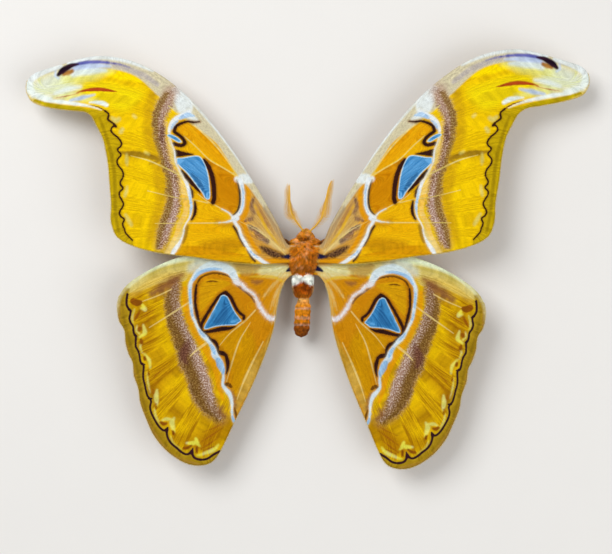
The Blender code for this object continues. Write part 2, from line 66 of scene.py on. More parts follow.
camera_data = bpy.data.cameras.new("camera")
camera_data.lens = LENS
camera_data.sensor_width = SENSOR
camera = bpy.data.objects.new("camera", camera_data)
distance = IMAGE_WIDTH * PIXEL * LENS / SENSOR
camera.location = Vector((*VIEW_CENTRE, WING_LEVEL + distance)) * MM
bpy.context.scene.collection.objects.link(camera)
bpy.context.scene.camera = camera
print("camera height in mm:", round(WING_LEVEL + distance))

# %% [markdown]
# ## Light and floor
# A museum shows such a model on a pale table under large, soft lamps. Two area lamps stand beside
# the camera, one brighter, so that veins and fur cast faint shadows. A pale sky fills the rest. The
# Standard view transform keeps the wings' yellows as strong as they are painted.

# %% Lamps, sky and table
KEY_LAMP = ((-0.42, 0.40, 0.72), 0.55, 5.8)
FILL_LAMP = ((0.50, -0.22, 0.62), 0.70, 2.7)
SKY = 0.37
TABLE_SIZE = 6.0
SKY_COLOUR = (1.0, 0.985, 0.96, 1.0)
TABLE_LEVEL = -0.02
TABLE_COLOUR = (0.80, 0.79, 0.77)
TABLE_MOTTLE = 0.985
TABLE_MOTTLE_SCALE = 60.0


def lamp(name, place, size, power):
    """A square area lamp that faces the moth."""
    data = bpy.data.lights.new(name, "AREA")
    data.size = size
    data.energy = power
    made = bpy.data.objects.new(name, data)
    made.location = place
    made.rotation_euler = Vector(place).to_track_quat("Z", "Y").to_euler()
    bpy.context.scene.collection.objects.link(made)
    return made


def new_material(name, roughness, **sockets):
    """A material, its Principled BSDF with those sockets set, and its node tree."""
    made = bpy.data.materials.new(name)
    made.use_nodes = True
    shader = made.node_tree.nodes["Principled BSDF"]
    shader.inputs["Roughness"].default_value = roughness
    for socket, value in sockets.items():
        shader.inputs[socket.replace("_", " ")].default_value = value
    return made, shader, made.node_tree


def grid_mesh(name, points, faces, finish=None):
    """A mesh object from points in millimetres."""
    mesh = bpy.data.meshes.new(name)
    mesh.from_pydata((np.asarray(points, float) * MM).tolist(), [], faces)
    mesh.shade_smooth()
    if finish:
        mesh.materials.append(finish)
    made = bpy.data.objects.new(name, mesh)
    bpy.context.scene.collection.objects.link(made)
    return made


def corners_of(mesh):
    """The point number of every face corner of a mesh."""
    corner = np.empty(len(mesh.loops), np.int64)
    mesh.loops.foreach_get("vertex_index", corner)
    return corner


def set_map(mesh, uv):
    """The unwrapped map that a picture of the colours is baked on."""
    mesh.uv_layers.new(name="OFBake").data.foreach_set("uv", uv.astype(np.float32).ravel())


lamp("key_lamp", *KEY_LAMP)
lamp("fill_lamp", *FILL_LAMP)
world = bpy.data.worlds.new("studio")
world.use_nodes = True
world.node_tree.nodes["Background"].inputs["Color"].default_value = SKY_COLOUR
world.node_tree.nodes["Background"].inputs["Strength"].default_value = SKY
bpy.context.scene.world = world
bpy.context.scene.view_settings.view_transform = "Standard"
bpy.context.scene.view_settings.look = "None"
table_finish, table_shader, table_tree = new_material("pale_table", 0.85)
table_noise = table_tree.nodes.new("ShaderNodeTexNoise")
table_place = table_tree.nodes.new("ShaderNodeTexCoord")
table_mix = table_tree.nodes.new("ShaderNodeMix")
table_mix.data_type = "RGBA"
table_mix.inputs["A"].default_value = (*[c * TABLE_MOTTLE for c in TABLE_COLOUR], 1)
table_mix.inputs["B"].default_value = (*TABLE_COLOUR, 1)
table_noise.inputs["Scale"].default_value = TABLE_MOTTLE_SCALE
table_tree.links.new(table_place.outputs["Object"], table_noise.inputs["Vector"])
table_tree.links.new(table_noise.outputs["Fac"], table_mix.inputs["Factor"])
table_tree.links.new(table_mix.outputs["Result"], table_shader.inputs["Base Color"])
half_table = TABLE_SIZE / 2 / MM
table_corners = [(x * half_table, y * half_table, TABLE_LEVEL)
                 for x, y in ((-1, -1), (1, -1), (1, 1), (-1, 1))]
table = grid_mesh("pale_table", table_corners, [(0, 1, 2, 3)], table_finish)
print("lamps:", KEY_LAMP[2], FILL_LAMP[2], "W, sky:", SKY)

# %% [markdown]
# ## Lines and the wings' common surface
# A wing is drawn flat, as a pinned specimen is measured, and then laid on one gently bent surface:
# it rises from the body, sinks towards the tips and has faint radial pleats. The same few formulas
# shaped the solids, so the dressed wings fall exactly on them.

# %% Smooth lines and the bent surface
WING_HEIGHT = 13.4
HALF_SPAN = 106.0
HALF_DEPTH = 78.0
SPAN_RISE = 2.6
DEPTH_DROOP = 2.6
TIP_DROOP = 4.2
TIP_DROOP_FROM = 66.0
PLEAT_HEIGHT = 0.32
PLEATS_PER_TURN = 11.0
PLEAT_FADE = 42.0
LIFT = {"forewing": 1.0, "hindwing": -1.0}
HINGE = {"forewing": (5.9, 2.0), "hindwing": (5.2, -4.2)}
WING_SET = {
    "forewing_right": (0.0, 1.0, 1.0),
    "forewing_left": (-0.3, 1.0, 1.0),
    "hindwing_right": (0.0, 1.0, 1.0),
    "hindwing_left": (2.4, 1.03, 1.0),
}
RISE_WIDTH = 1.15
LEFT_TIP_SHIFT = (-2.6, -2.2)
TIP_SLANT, TIP_FROM, TIP_FADE = 0.35, 76, 20
LEFT_CORNER_SHIFT = 1.4
CORNER_FROM, CORNER_FADE, CORNER_REACH = 34, 22, 70


def ease(t):
    """0 to 1 with a smooth start and end, for numbers and arrays."""
    t = np.clip(t, 0.0, 1.0)
    return t * t * (3 - 2 * t)


def unit(vectors):
    """The same directions with length one."""
    return vectors / np.linalg.norm(vectors, axis=-1, keepdims=True)


def travelled(line):
    """How far along a line each of its points lies."""
    return np.concatenate([[0.0], np.cumsum(np.linalg.norm(np.diff(line, axis=0), axis=1))])


def at_stations(stations, walked, rows):
    """Rows of numbers along a line, read at some distances along it."""
    return np.column_stack([np.interp(stations, walked, column) for column in rows.T])


def pairs(numbers):
    """Points from numbers in the order x, y, x, y. The points of a line may stand among them."""
    return [tuple(p) for p in np.concatenate([np.ravel(n) for n in numbers]).reshape(-1, 2)]


def smooth_line(points, step, closed=False):
    """Points every step or so along a smooth curve through the given ones, in any dimension."""
    points = np.array(points, float)
    count = len(points)
    line = []
    for i in range(count if closed else count - 1):
        p1, p2 = points[i], points[(i + 1) % count]
        p0 = points[i - 1] if closed or i > 0 else p1
        p3 = points[(i + 2) % count] if closed or i + 2 < count else p2
        length = np.linalg.norm(p2 - p1)
        start = (p2 - p0) * length / max(length + np.linalg.norm(p1 - p0), 1e-6)
        end = (p3 - p1) * length / max(np.linalg.norm(p3 - p2) + length, 1e-6)
        parts = max(1, round(length / step))
        t = (np.arange(parts) / parts)[:, None]
        line.append(p1 * (2 * t**3 - 3 * t**2 + 1) + start * (t**3 - 2 * t**2 + t)
                    + p2 * (3 * t**2 - 2 * t**3) + end * (t**3 - t**2))
    if not closed:
        line.append(points[-1:])
    return np.concatenate(line)


def wing_surface(x, y):
    """Height of the surface that both wings of a side follow."""
    out = np.abs(x)
    rise = SPAN_RISE * np.sin(math.pi * np.minimum(out / (HALF_SPAN * RISE_WIDTH), 1.0))
    droop = DEPTH_DROOP * (y / HALF_DEPTH) ** 2
    tip = TIP_DROOP * ease((out - TIP_DROOP_FROM) / (HALF_SPAN - TIP_DROOP_FROM))
    pleat = PLEAT_HEIGHT * np.sin(PLEATS_PER_TURN * np.arctan2(y, out)) * ease(np.hypot(x, y) / PLEAT_FADE)
    return WING_HEIGHT + rise - droop - tip + pleat


def set_wing(name, x, y):
    """Where the solids have a point of a right wing's plan, on the wing of that name."""
    kind, side = name.split("_")
    turn, sideways, forward = WING_SET[name]
    hinge = HINGE[kind]
    dx, dy = (x - hinge[0]) * sideways, (y - hinge[1]) * forward
    c, s = math.cos(math.radians(turn)), math.sin(math.radians(turn))
    x, y = hinge[0] + dx * c - dy * s, hinge[1] + dx * s + dy * c
    if name == "forewing_left":
        tip = ease((y + TIP_SLANT * x - TIP_FROM) / TIP_FADE)
        corner = ease((CORNER_FROM - y) / CORNER_FADE) * x / CORNER_REACH
        x, y = x + LEFT_TIP_SHIFT[0] * tip + LEFT_CORNER_SHIFT * corner, y + LEFT_TIP_SHIFT[1] * tip
    return (-x if side == "left" else x), y


print("surface at the body and at a tip:", round(float(wing_surface(0, 0)), 2),
      round(float(wing_surface(106, 67)), 2))

# %% [markdown]
# ## Outlines and veins
# The forewing ends in the hooked lobe that gives the species its snake-head look. Its front edge is
# almost straight and its outer edge hollow. The hindwing is rounder, with a soft wave where veins
# meet the edge. Both outlines and the main veins are those of the solids.

# %% Outlines and veins of the right wings
RIMS = {
    "forewing": [2, 4.9, 5.9, 5.6, 9.6, 13.4, 18.9, 29.2, 30.1, 45.7, 43.3, 60.9, 57.8, 72.2, 67.5, 76.4,
        77.5, 78, 85, 77.3, 92.5, 75.3, 98.4, 73.8, 103.2, 72.1, 105.6, 69.9, 106.3, 67, 105.8, 64,
        103.6, 61, 96.5, 58.6, 87.6, 56.7, 82.2, 55.6, 79.2, 53.5, 77, 49.8, 74.6, 44.8, 73, 37.5,
        71.9, 28.6, 70.5, 20.2, 70.1, 13.6, 67.7, 8.1, 61, 4.5, 51.9, 2.2, 40, 0.7, 30, -0.9, 18.1, -2,
        6.8, -1.7, 2, -0.9],
    "hindwing": [2, -1.6, 8, 1.2, 19, 5, 31, 4.6, 41.3, 0.8, 50, -2.7, 57.5, -6.9, 63.4, -11.4, 66.4, -15.8,
        67.1, -20.4, 66.2, -25.6, 64.2, -28.9, 63.5, -33.8, 62.3, -37.6, 60.7, -41, 60.2, -45.4, 58.4, -50.4,
        57.5, -55.6, 55.1, -61.6, 52.1, -67.6, 47.4, -73, 41.2, -77.1, 35.8, -78.3, 31, -77, 28.2, -73.6,
        23.2, -62, 15.8, -44, 10.7, -28, 9.2, -17.3, 7.9, -10.8, 5.2, -6.6, 2, -5.6],
}
VEINS = {
    "forewing": [
        [7.4, 4.3, 13, 15.8, 22.6, 31.4, 34.4, 46.6, 48, 60.6, 64, 71.6],
        [7.2, 3.2, 15.6, 16.8, 24.4, 30.6, 31.5, 40.6, 38.5, 47.8, 45, 53.2, 53, 59.4, 62, 65, 74, 69,
         86, 70, 97.5, 68.4],
        [24.4, 30.6, 31, 33.8, 36.6, 37.2, 44.6, 45.6, 52.6, 53, 64, 59.4, 80, 62.4, 97, 62.2],
        [44.6, 45.6, 55, 50.2, 66, 52.2, 75.4, 50.4],
        [7.6, 1.4, 15.8, 9.2, 25.2, 15.2, 35.2, 20.8, 39.6, 24.8, 43.6, 28.9, 47.6, 32.1, 52.4, 34.6,
         60, 37.2, 71.6, 39.6],
        [35.2, 20.8, 41, 22.1, 46.6, 22.8, 57.4, 25.4, 70.2, 28],
        [25.2, 15.2, 29.4, 13.7, 42.8, 13.4, 56, 13.2, 68.6, 14.6],
        [7.8, 0.2, 17, 2.9, 30, 4.1, 45, 5.2, 61, 6.4],
    ],
    "hindwing": [
        [7.8, -1.9, 18, -0.6, 30, -1.4, 41, -3.4, 50, -5.8, 58, -9.8, 63.6, -14],
        [7.4, -3, 14.6, -5.4, 22, -8.6, 30, -9.7, 38.4, -10.4, 47, -13.2, 56, -17.4, 64.6, -21.8],
        [22, -8.6, 27, -11.8, 33, -14.4, 41, -17.8, 50, -23.4, 56.4, -27.6, 62.4, -31.2],
        [27, -11.8, 31.2, -18.6, 35.8, -26.6, 42.2, -31.9, 50, -37.3, 59, -41.6],
        [7.6, -4.2, 13, -12, 17, -19, 22, -24.6, 27.6, -28.8, 34.6, -33, 39, -37.6, 43.6, -42.8, 49.2, -49,
         56.4, -55.2],
        [22, -24.6, 26.4, -29.6, 30.6, -36.8, 36, -45.2, 42, -54.8, 50.4, -68.2],
        [17, -19, 20.8, -26.4, 24, -35.4, 27.6, -48, 31.2, -56.4, 35, -66, 37.8, -76.4],
        [7.2, -5.6, 10.6, -14, 12.9, -24, 15.6, -33.6, 19, -43.6, 23.2, -55.4, 28.4, -69.6],
    ],
}
print("veins:", {kind: len(lines) for kind, lines in VEINS.items()})

# %% [markdown]
# ## How the markings are painted
# On a real wing each scale has one colour, and the pattern is where one colour of scales gives way
# to another. Here the pattern is painted as an illustrator would: washes first, then lines. A layer
# is a set of brush strokes and filled patches, drawn in the plan. The script measures how
# far every point of the wing is from the layer's edge, and the material turns that distance into
# colour, so an edge stays crisp at any size of picture and no image is needed.

# %% Brush strokes, patches and layers
STROKE_STEP = 0.55
LAYERS = {"forewing": [], "hindwing": []}


def brush(widths, *points):
    """A stroke with its half widths from end to end, as rows of x, y and half width."""
    line = smooth_line(pairs(points), STROKE_STEP)
    walked = travelled(line)
    half = np.interp(walked / walked[-1], np.linspace(0, 1, len(widths)), widths)
    return "stroke", np.column_stack([line, half])


def patch(*points):
    """A filled patch with a smooth outline."""
    return "patch", smooth_line(pairs(points), 2 * STROKE_STEP, closed=True)


def zone(line, *corners):
    """Everything on one side of a smooth line, closed round by far corners."""
    return "patch", np.concatenate([smooth_line(pairs(line), STROKE_STEP), pairs(corners)])


def beside(line, shift):
    """The points of a line, moved to its left by a shift."""
    line = np.array(line, float)
    along = unit(np.gradient(line, axis=0))
    return [tuple(p) for p in line + shift * np.column_stack([-along[:, 1], along[:, 0]])]


def layer(kind, name, first, second, softness, marks, choice="Streak", strength=1.0, ragged=0.16, grow=0.0):
    """Adds a layer of two colours over those before it. Marks may be the name of a layer to grow."""
    LAYERS[kind].append({
        "name": name.replace(" ", "_"), "first": first, "second": second, "softness": softness,
        "marks": marks, "choice": choice, "strength": strength, "ragged": ragged, "grow": grow,
    })


fore, hind = partial(layer, "forewing"), partial(layer, "hindwing")
print("strokes are measured every", STROKE_STEP, "mm")


# %% [markdown]
# ## The forewing's pattern
# Two pale lines cross the wing. Between them lies an orange field with two blue windows, which are
# see-through spots on the living moth. Outside them follow a band of brown and pink speckles, a
# yellow field, a wavy dark line and an olive border. The lobe at the tip is cream, with a violet
# streak and a dark blotch like an eye.

# %% Forewing layers
FRONT_LINE = pairs([5, 4.6, 7.5, 9, 12.5, 15.5, 15, 19, 17.5, 22.5, 20, 26, 22.5, 28.5, 25, 31.5, 27.5, 35.5,
    30, 39.5, 32.5, 43, 37.5, 47, 42.5, 50.9, 47.5, 54.7, 55, 61.6, 62.5, 68.5, 67.5, 71.3, 75, 73, 82, 73.4,
    88, 73, 94, 72.6, 102, 71])
INNER_TOP = pairs([23.7, 29.4, 22.9, 26.5, 22.5, 24, 22.4, 21.5, 22.6, 19.5, 23.3, 17.5, 24.3, 16.2,
    25.5, 15.3])
INNER_FOOT = pairs([25.8, 14.7, 24.8, 13, 23.8, 11.5, 23.2, 9.5, 22.6, 8, 21.6, 6.3, 20.7, 4.6, 19.7, 3,
    18.3, 1.2, 16.8, 0.3, 15, -1, 13, -2.2])
OUTER_LINE = pairs([42.5, 54.5, 45, 53.2, 47.5, 51.8, 49, 50, 49.8, 47.5, 49.5, 44, 48.7, 42, 48, 40,
    47.7, 38, 47.5, 36, 45.8, 32.3, 44.5, 29.8, 43.3, 28, 42.6, 26.3, 42.2, 24.5, 41.7, 22.5, 41.2, 20.5,
    41.1, 18.5, 41.3, 16.5, 41.9, 14.9, 42.8, 13.4, 43.6, 11.5, 44, 9.5, 44.7, 7.5, 45.7, 5.5, 46.9, 3.5,
    48.2, 1.3])
BAND_LINE = pairs([50, 60.5, 51.3, 57.5, 52.6, 55, 53.4, 52.5, 53.5, 50, 53.3, 47.5, 53.1, 45, 52.5, 42.5,
    51.8, 40, 51.2, 37.5, 50.6, 35, 49.5, 32.5, 48.5, 30, 48.2, 27.5, 48, 25, 47.8, 22.5, 47.8, 20,
    48.2, 17.5, 49, 15, 50, 12.5, 50.8, 10, 51.2, 7.5, 52, 5])
WAVY_LINE = pairs([74, 55.4, 72.4, 54.2, 72.3, 53, 72.5, 52, 71.3, 51, 70.2, 50.2, 69.3, 49.1, 70.5, 49.3,
    71.2, 48.3, 71.3, 47.6, 70.3, 46.4, 68.8, 45.2, 67.7, 43.8, 67.3, 42.6, 68, 41.6, 68.8, 40.9, 68.6, 40,
    67.7, 39.2, 67.6, 38.5, 68.3, 37.8, 69, 36.8, 69, 35.5, 68.2, 34.3, 67.3, 33.2, 66.8, 32, 66.7, 30.8,
    67.1, 29.8, 67.7, 28.8, 67.5, 27.6, 66.6, 26.8, 66.5, 26.2, 67.2, 25.5, 67.7, 24.8, 67.5, 23.5,
    66.8, 22.4, 66.1, 21.3, 65.8, 20.2, 66.3, 19, 66.9, 18, 67, 17, 66.4, 15.9, 65.3, 15.2, 65.2, 14.4,
    65.7, 13.6, 65.6, 12.5, 65, 11.2, 64.7, 10, 63.9, 9, 62.2, 7.2])
BIG_WINDOW = pairs([38, 37.6, 39.5, 38.3, 42.5, 38, 45, 37.5, 47.3, 37.4, 47, 36, 46.3, 34.7, 44.8, 33.3,
    43, 31.5, 41, 29, 39, 26.5, 37.4, 24.5, 36.5, 22.8, 35.5, 22, 34.6, 22.2, 34.4, 24, 34.7, 27, 35.1, 30,
    35.8, 33, 36.8, 35.5])
SMALL_WINDOW = pairs([45, 43.3, 46.2, 43.1, 48.5, 44.4, 50.6, 45.6, 50.4, 46.3, 48.5, 46, 46.5, 44.9])
NODE_VEIN = [(25.6, 15.0), (27.5, 17.2), (30.0, 18.6), (32.5, 20.0), (35.0, 21.2)]

fore("root field", "#D8A034", "#B4823E", 1, [zone(INNER_TOP + INNER_FOOT, 0, -8, -10, 20, 14, 44)],
    ragged=0.3)
fore("root mottle", "#D6B878", "#A0703C", 2, [brush((1, 2.4, 2.6, 1.6), 7, 4.4, 11, 9, 15.6, 15, 18.4, 21)],
    strength=0.7, ragged=1)
fore("root pepper", "#E0BC74", "#A47240", 2.4, [brush((1.4, 3, 3.4, 2.4), 7, 3.6, 11.4, 7.4, 16, 12.6,
    19.6, 19)], choice="Speckle", strength=0.5, ragged=1.4)
fore("root streaks", "#E8C458", "#94623A", 1.4, [brush((0.6, 2.2, 2.8, 2, 0.5), 7.6, 3.6, 12, 7.6,
    16.4, 13.4, 19, 19.6, 21, 25.6)], strength=0.5, ragged=1.2)
fore("root cream", "#E8DCAC", "#DCBC60", 0.9, [brush((0.2, 0.6, 0.8, 0.5), 24.2, 13.8, 20.4, 12.2,
    16.6, 10.6, 12.6, 8), brush((0.4, 0.9, 0.8, 0.4), 16.4, 7.6, 13, 6.4, 10.4, 4.6, 7.2, 2.8),
    brush((0.4, 0.7, 0.4), 21.4, 6.6, 19.8, 4.2, 17, 2.2)], strength=0.6, ragged=0.8)
fore("root gold", "#E6BC30", "#DCA820", 0.7, [brush((0.2, 0.5, 0.55, 0.45, 0.2), 20.8, 23.4, 17.8, 19,
    15.6, 15, 13.4, 10.6, 9.4, 5.4)], strength=0.85, ragged=0.4)
fore("root orange", "#E09A10", "#D08808", 0.9, [brush((0.8, 1, 0.9), *beside(INNER_TOP, -1.9)), brush((0.9,
    0.7), *beside(INNER_FOOT[1:9], -2.2)), brush((0.9, 1.6, 1), 6, -0.6, 9, -0.4, 12, -1.2, 14.5, -0.8)])
fore("cell", "#BE7800", "#CE8A06", 0.5, [patch(24.4, 27.6, 24, 24, 24.2, 20, 25.8, 16.8, 28, 17.6, 32.4, 20,
    35.2, 21.4, 38.4, 24, 37.2, 37.4, 34.4, 36, 30, 33.6, 26.6, 31.4)])
fore("upper field", "#D89404", "#E4A80A", 0.9, [patch(26.6, 32.2, 30, 34.4, 35, 37.6, 38.6, 40.8, 42, 44.2,
    46.6, 47, 47, 49, 43.6, 50.6, 39, 48, 34, 44, 29, 38)])
fore("hind gold", "#DAA404", "#D09004", 0.8, [brush((1.2, 1.8, 2.2, 1.8), 20, -0.2, 27, 1.2, 36, 2.6,
    46.5, 3.2)])
fore("hind amber", "#C48A04", "#B67E06", 3, [brush((1.4, 2.6, 2.2, 1), 22.4, 5.6, 26.6, 5.4, 31, 5.2,
    37, 5.4), brush((0.8, 1.4, 0.8), 26, 13.2, 29, 13, 32, 14.6)], strength=0.85, ragged=0.6)
fore("outer field", "#EEC604", "#D8AE04", 0.5, [zone(OUTER_LINE, 60, -10, 120, -10, 120, 90, 40, 70)])
fore("shade at the band", "#C89A0C", "#B88A10", 2.6, [brush((1.5, 3, 2.5, 2), 56, 62, 57, 50, 54, 36, 52, 22,
    55, 8)], strength=0.6)
fore("bright yellow", "#F0D808", "#DEC20A", 5, [patch(60, 62, 70, 66, 80, 69.4, 88, 70, 90, 66, 84, 61.6,
    74, 57.6, 66, 55)])
fore("yellow shoulder", "#FFE400", "#F2D000", 1.6, [brush((0.6, 1.6, 1), 62, 67.4, 69, 70, 76, 71.4)])
fore("inner yellow strip", "#EED07C", "#E8B848", 0.8, [brush((0.5, 0.9, 1, 0.9, 1), *beside(OUTER_LINE[3:],
    1.9))])
fore("lobe", "#DCE2CC", "#D6DDA0", 8, [patch(89, 73, 97, 72.8, 104, 70, 105.6, 66, 103, 62.4, 96, 61.6,
    90, 61.4, 87.4, 65, 87, 70)])
fore("lobe pale", "#E2E896", "#E0DC70", 3, [brush((0.6, 1.8, 2.2, 1.6), 73, 72.6, 79, 71.2, 85, 70.2,
    91, 69.4), brush((0.4, 1.2, 1.6), 78, 60, 84, 61.6, 90, 62.6)], strength=0.8, ragged=0.5)
fore("lobe white", "#E6EEE8", "#D8E4DC", 1.8, [brush((0.6, 1.8, 1.2), 76, 72.4, 82, 72.6, 88, 71.4),
    brush((1.6, 2, 1.2), 104.6, 70.4, 105.2, 67.2, 103.4, 64.2), brush((0.8, 1.4, 1), 97, 62.4, 100, 62.8,
    102.6, 64), brush((0.5, 0.9, 0.5), 85.5, 66.4, 90, 65.8, 95, 64.4)])
fore("border", "#AE9206", "#C6A60A", 0.7, [zone(WAVY_LINE, 60, -4, 90, -4, 106, 55, 80, 56.6)])
fore("border streak", "#866A04", "#967C06", 0.9, [brush((0.5, 0.7, 0.7, 0.5), 75.6, 52.6, 73.2, 46, 71, 38,
    69.6, 28, 68.6, 18, 67, 10)], strength=0.7)
fore("lobe border", "#C2A806", "#A88E08", 0.7, [brush((0.6, 0.9, 1, 0.9, 0.5), 80, 55.6, 85, 57.2, 91, 58.4,
    97, 59.9, 103, 61.9)])
fore("front band", "#D4CCA8", "#BCB094", 0.8, [zone(FRONT_LINE, 120, 80, 60, 100, -20, 40, -10, 5)],
    choice="Speckle")
fore("front violet grey", "#A8A0A4", "#C2B8A8", 1.2, [brush((0.8, 1.1, 1, 0.6), 55, 65.4, 61, 69.8, 67, 72.6,
    73, 74.4)], choice="Speckle", strength=0.8)
fore("front root", "#B49E78", "#9C8664", 1.2, [brush((1, 1.6, 1.2), 6, 5, 10, 12, 14, 18.5)], strength=0.7)
fore("front white", "#E2EAEA", "#D6DCD8", 1.1, [brush((1, 1.9, 1.2), 19.6, 29, 22.4, 29.8, 24.6, 29.6),
    brush((0.4, 1.4, 3, 3.4, 1.6), 39.6, 51.6, 42.5, 53.6, 44, 56.6, 45, 59.6, 47.6, 62.6),
    brush((0.3, 0.7, 0.4), 20, 30.6, 30.6, 46, 43.6, 60.8), brush((0.4, 0.8, 1, 0.8), 58, 71.8, 68, 75.8,
    78, 77.4, 90, 75.6), brush((0.8, 1.2, 1.6), 93, 74.4, 99, 72.8, 104.6, 70.2)])
fore("band haze", "#B48C34", "#C09A4C", 2.2, [brush((2.4, 2.2, 2, 2.2, 2.8, 2.8), *BAND_LINE)], strength=0.6)
fore("speckled band", "#80583A", "#C8AC98", 1.8,
    [brush((1.6, 2.6, 2.3, 2, 2, 1.7, 1.4, 1.4, 1.9, 2.2, 2.5, 2.7, 2.6, 2.4, 2.2, 1.4), *BAND_LINE)],
    choice="Speckle", ragged=0.9)
fore("band pale specks", "#A88474", "#D8C4BC", 1.4, [brush((0.3, 1, 1.4, 1.2, 0.4), 49.4, 31, 47.6, 25,
    47.4, 19, 48.8, 13, 50.6, 7.6)], choice="Speckle", strength=0.7, ragged=0.9)
fore("band top", "#A48270", "#CCB6A6", 3.6, [brush((3.2, 2.6, 1.6, 0.6), 49.4, 62, *BAND_LINE[:5])],
    choice="Speckle", strength=0.75, ragged=1.2)
fore("band outer half", "#7A5420", "#9A803C", 1,
    [brush((1.2, 1.2, 1.1, 0.9, 0.8, 0.8, 1.1, 1.3, 1.2, 1, 0.5), *beside(BAND_LINE, 1.3))],
    choice="Speckle", strength=0.85, ragged=0.9)
fore("band wine", "#4E241C", "#6A4034", 0.8, [brush((0.5, 0.9, 0.7, 0.4), 52.4, 49.4, 52.2, 47.4, 52.6, 45.4,
    52, 42.8)], choice="Speckle", strength=0.6, ragged=0.6)
fore("soft brown", "#8A6418", "#7A5614", 0.9, [brush((0.6, 0.9, 0.7, 0.5), 42.4, 12.4, 42.9, 10.4, 43.2, 8.4,
    43.9, 6.2), brush((0.2, 0.9, 1.2, 0.5), 57, 35.2, 53.6, 36.8, 60, 38.6, 68, 39.6), brush((0.3, 0.6, 0.3),
    20, -1.5, 27, -1.2, 34, -0.4)], strength=0.75)
fore("root brown", "#64423A", "#9A7860", 1.1, [brush((0.8, 0.9, 0.4), 19.2, 15, 20.4, 14.4, 21.4, 13.8),
    brush((0.4, 1.1, 1.2, 0.8), 20.2, 12.6, 18, 10.6, 16, 8.4, 13.6, 6.4), brush((0.4, 0.8, 0.5), 18.6, 22.6,
    19.2, 19.4, 18.4, 16.8)], choice="Speckle", strength=0.85, ragged=0.7)
fore("root dark", "#382016", "#86603C", 1.1, [brush((0.5, 1.2, 1.4, 1.1, 0.7), 16, 4.6, 13.6, 3.2, 11.4, 2,
    9, 1.2, 6.4, 0.7), brush((0.9, 0.6), 4.4, 0.9, 6.4, 0.4)], choice="Speckle", ragged=0.7)
fore("root blue black", "#15152E", "#1E1E44", 0.6, [brush((0.9, 0.9, 0.4), 4.6, 1.2, 6.2, 0.9, 7.8, 0.9)],
    ragged=0.3)
fore("pale veins", "#E6D68A", "#DCC468", 0.22, [brush((0.3, 0.24, 0.2, 0.2, 0.14), 25.4, 31, 30, 33.8,
    35, 36.8, 40, 41.7, 44.4, 45.6), brush((0.24, 0.3, 0.24, 0.1), 45.8, 31, 50, 33.2, 57.5, 36.6, 64, 38.4),
    brush((0.26, 0.2, 0.12), *NODE_VEIN, 39, 24.2), brush((0.3, 0.2, 0.16, 0.16), 26, 14.6, 29, 13.6,
    36, 13.4, 44, 13.4, 54, 13.3), brush((0.2, 0.3, 0.2), 24.4, 30.6, 31.5, 40.6, 38.5, 47.8, 45, 52.6,
    50, 56.8), brush((0.2, 0.12), 35.2, 20.8, 41, 22.1, 46.6, 22.8, 57.4, 25.4), brush((0.14, 0.12, 0.08),
    7, 1.6, 12, 6.8, 17.4, 10.8, 23.6, 14)], strength=0.75, ragged=0.1)
fore("dark flank", "#7E4806", "#8E5A0C", 0.9, "dark_edges", strength=0.6, grow=0.4)
fore("dark edges", "#2A1410", "#3A1A12", 0.4, [brush((0.15, 0.4, 0.45, 0.45, 0.4, 0.2),
    *beside(INNER_TOP, 1.05)), brush((0.35, 0.4, 0.3, 0.2), 25.7, 12.2, 24.4, 10, 23.2, 7.2, 21.6, 4.6),
    brush((0.2, 0.35, 0.3), 20.6, 3.4, 19.4, 1, 18, -0.8), brush((0.2, 0.45, 0.6, 0.6, 0.7), 38.5, 50.9,
    40.5, 50.7, 43, 50.9, 45, 50.4, 46.8, 49.5, 47.6, 48.6, 47.8, 47.2, 46.5, 46.2, 45.2, 45.1, 44.3, 43.9,
    44, 42.8, 45, 42.1, 46.5, 42.2, 48, 42.6), brush((0.1, 0.5, 0.9, 1.3), 41, 38.7, 43.5, 38.9, 45.5, 39,
    47.2, 39.2), brush((0.4, 0.8, 0.85, 0.85, 0.8, 0.8), 37, 36.8, 35.4, 34.4, 34.2, 31.5, 33.5, 28.5,
    33.1, 25.5, 33, 22.8, 33.3, 20.9), brush((0.6, 0.8, 0.75, 0.6, 0.2), 45.2, 32.5, 43.5, 30.5, 41.8, 28.6,
    39.8, 26.6, 38.1, 24.7), brush((0.15, 0.4, 0.45, 0.25), 42, 27, 41.2, 25, 40.8, 22.9),
    brush((0.25, 0.55, 0.55, 0.3), 40, 21.4, 39.7, 19.5, 39.7, 17.5, 40.2, 15.8, 40.9, 14.7)])
fore("white flank", "#E6D8A4", "#D8C890", 1.2, "white_lines", strength=0.3, ragged=0.5, grow=0.3)
fore("white lines", "#E8ECEC", "#D4DEE4", 0.55, [brush((1, 0.6, 0.6, 0.6, 0.7), *INNER_TOP),
    brush((0.6, 0.5, 0.6, 0.6, 0.7, 0.6), *INNER_FOOT), brush((0.8, 0.4), 24.4, 15, 26.2, 15.2),
    brush((0.4, 0.2, 0.1), 26, 14.4, 28, 13.8, 31, 13.5), brush((0.4, 0.2, 0.1), *NODE_VEIN[:3]),
    brush((0.9, 0.9, 0.7, 0.45, 0.35, 0.35, 0.3, 0.4, 0.6, 0.6, 0.4, 0.26, 0.3, 0.45, 0.75, 0.75),
    *OUTER_LINE)], ragged=0.3)
fore("cream by the line", "#E0CC8C", "#D8BC60", 0.7, [brush((0.3, 0.5, 0.6, 0.4, 0.3), 50.2, 47, 49.6, 43.4,
    48.6, 40, 48.4, 37, 46.6, 33), brush((0.15, 0.42, 0.42, 0.15), 47, 34.6, 46.3, 32.7, 45, 30.3,
    43.7, 28.2), brush((0.3, 0.7, 0.6), 43.8, 12, 44.8, 9, 46.4, 6.2)], strength=0.8)
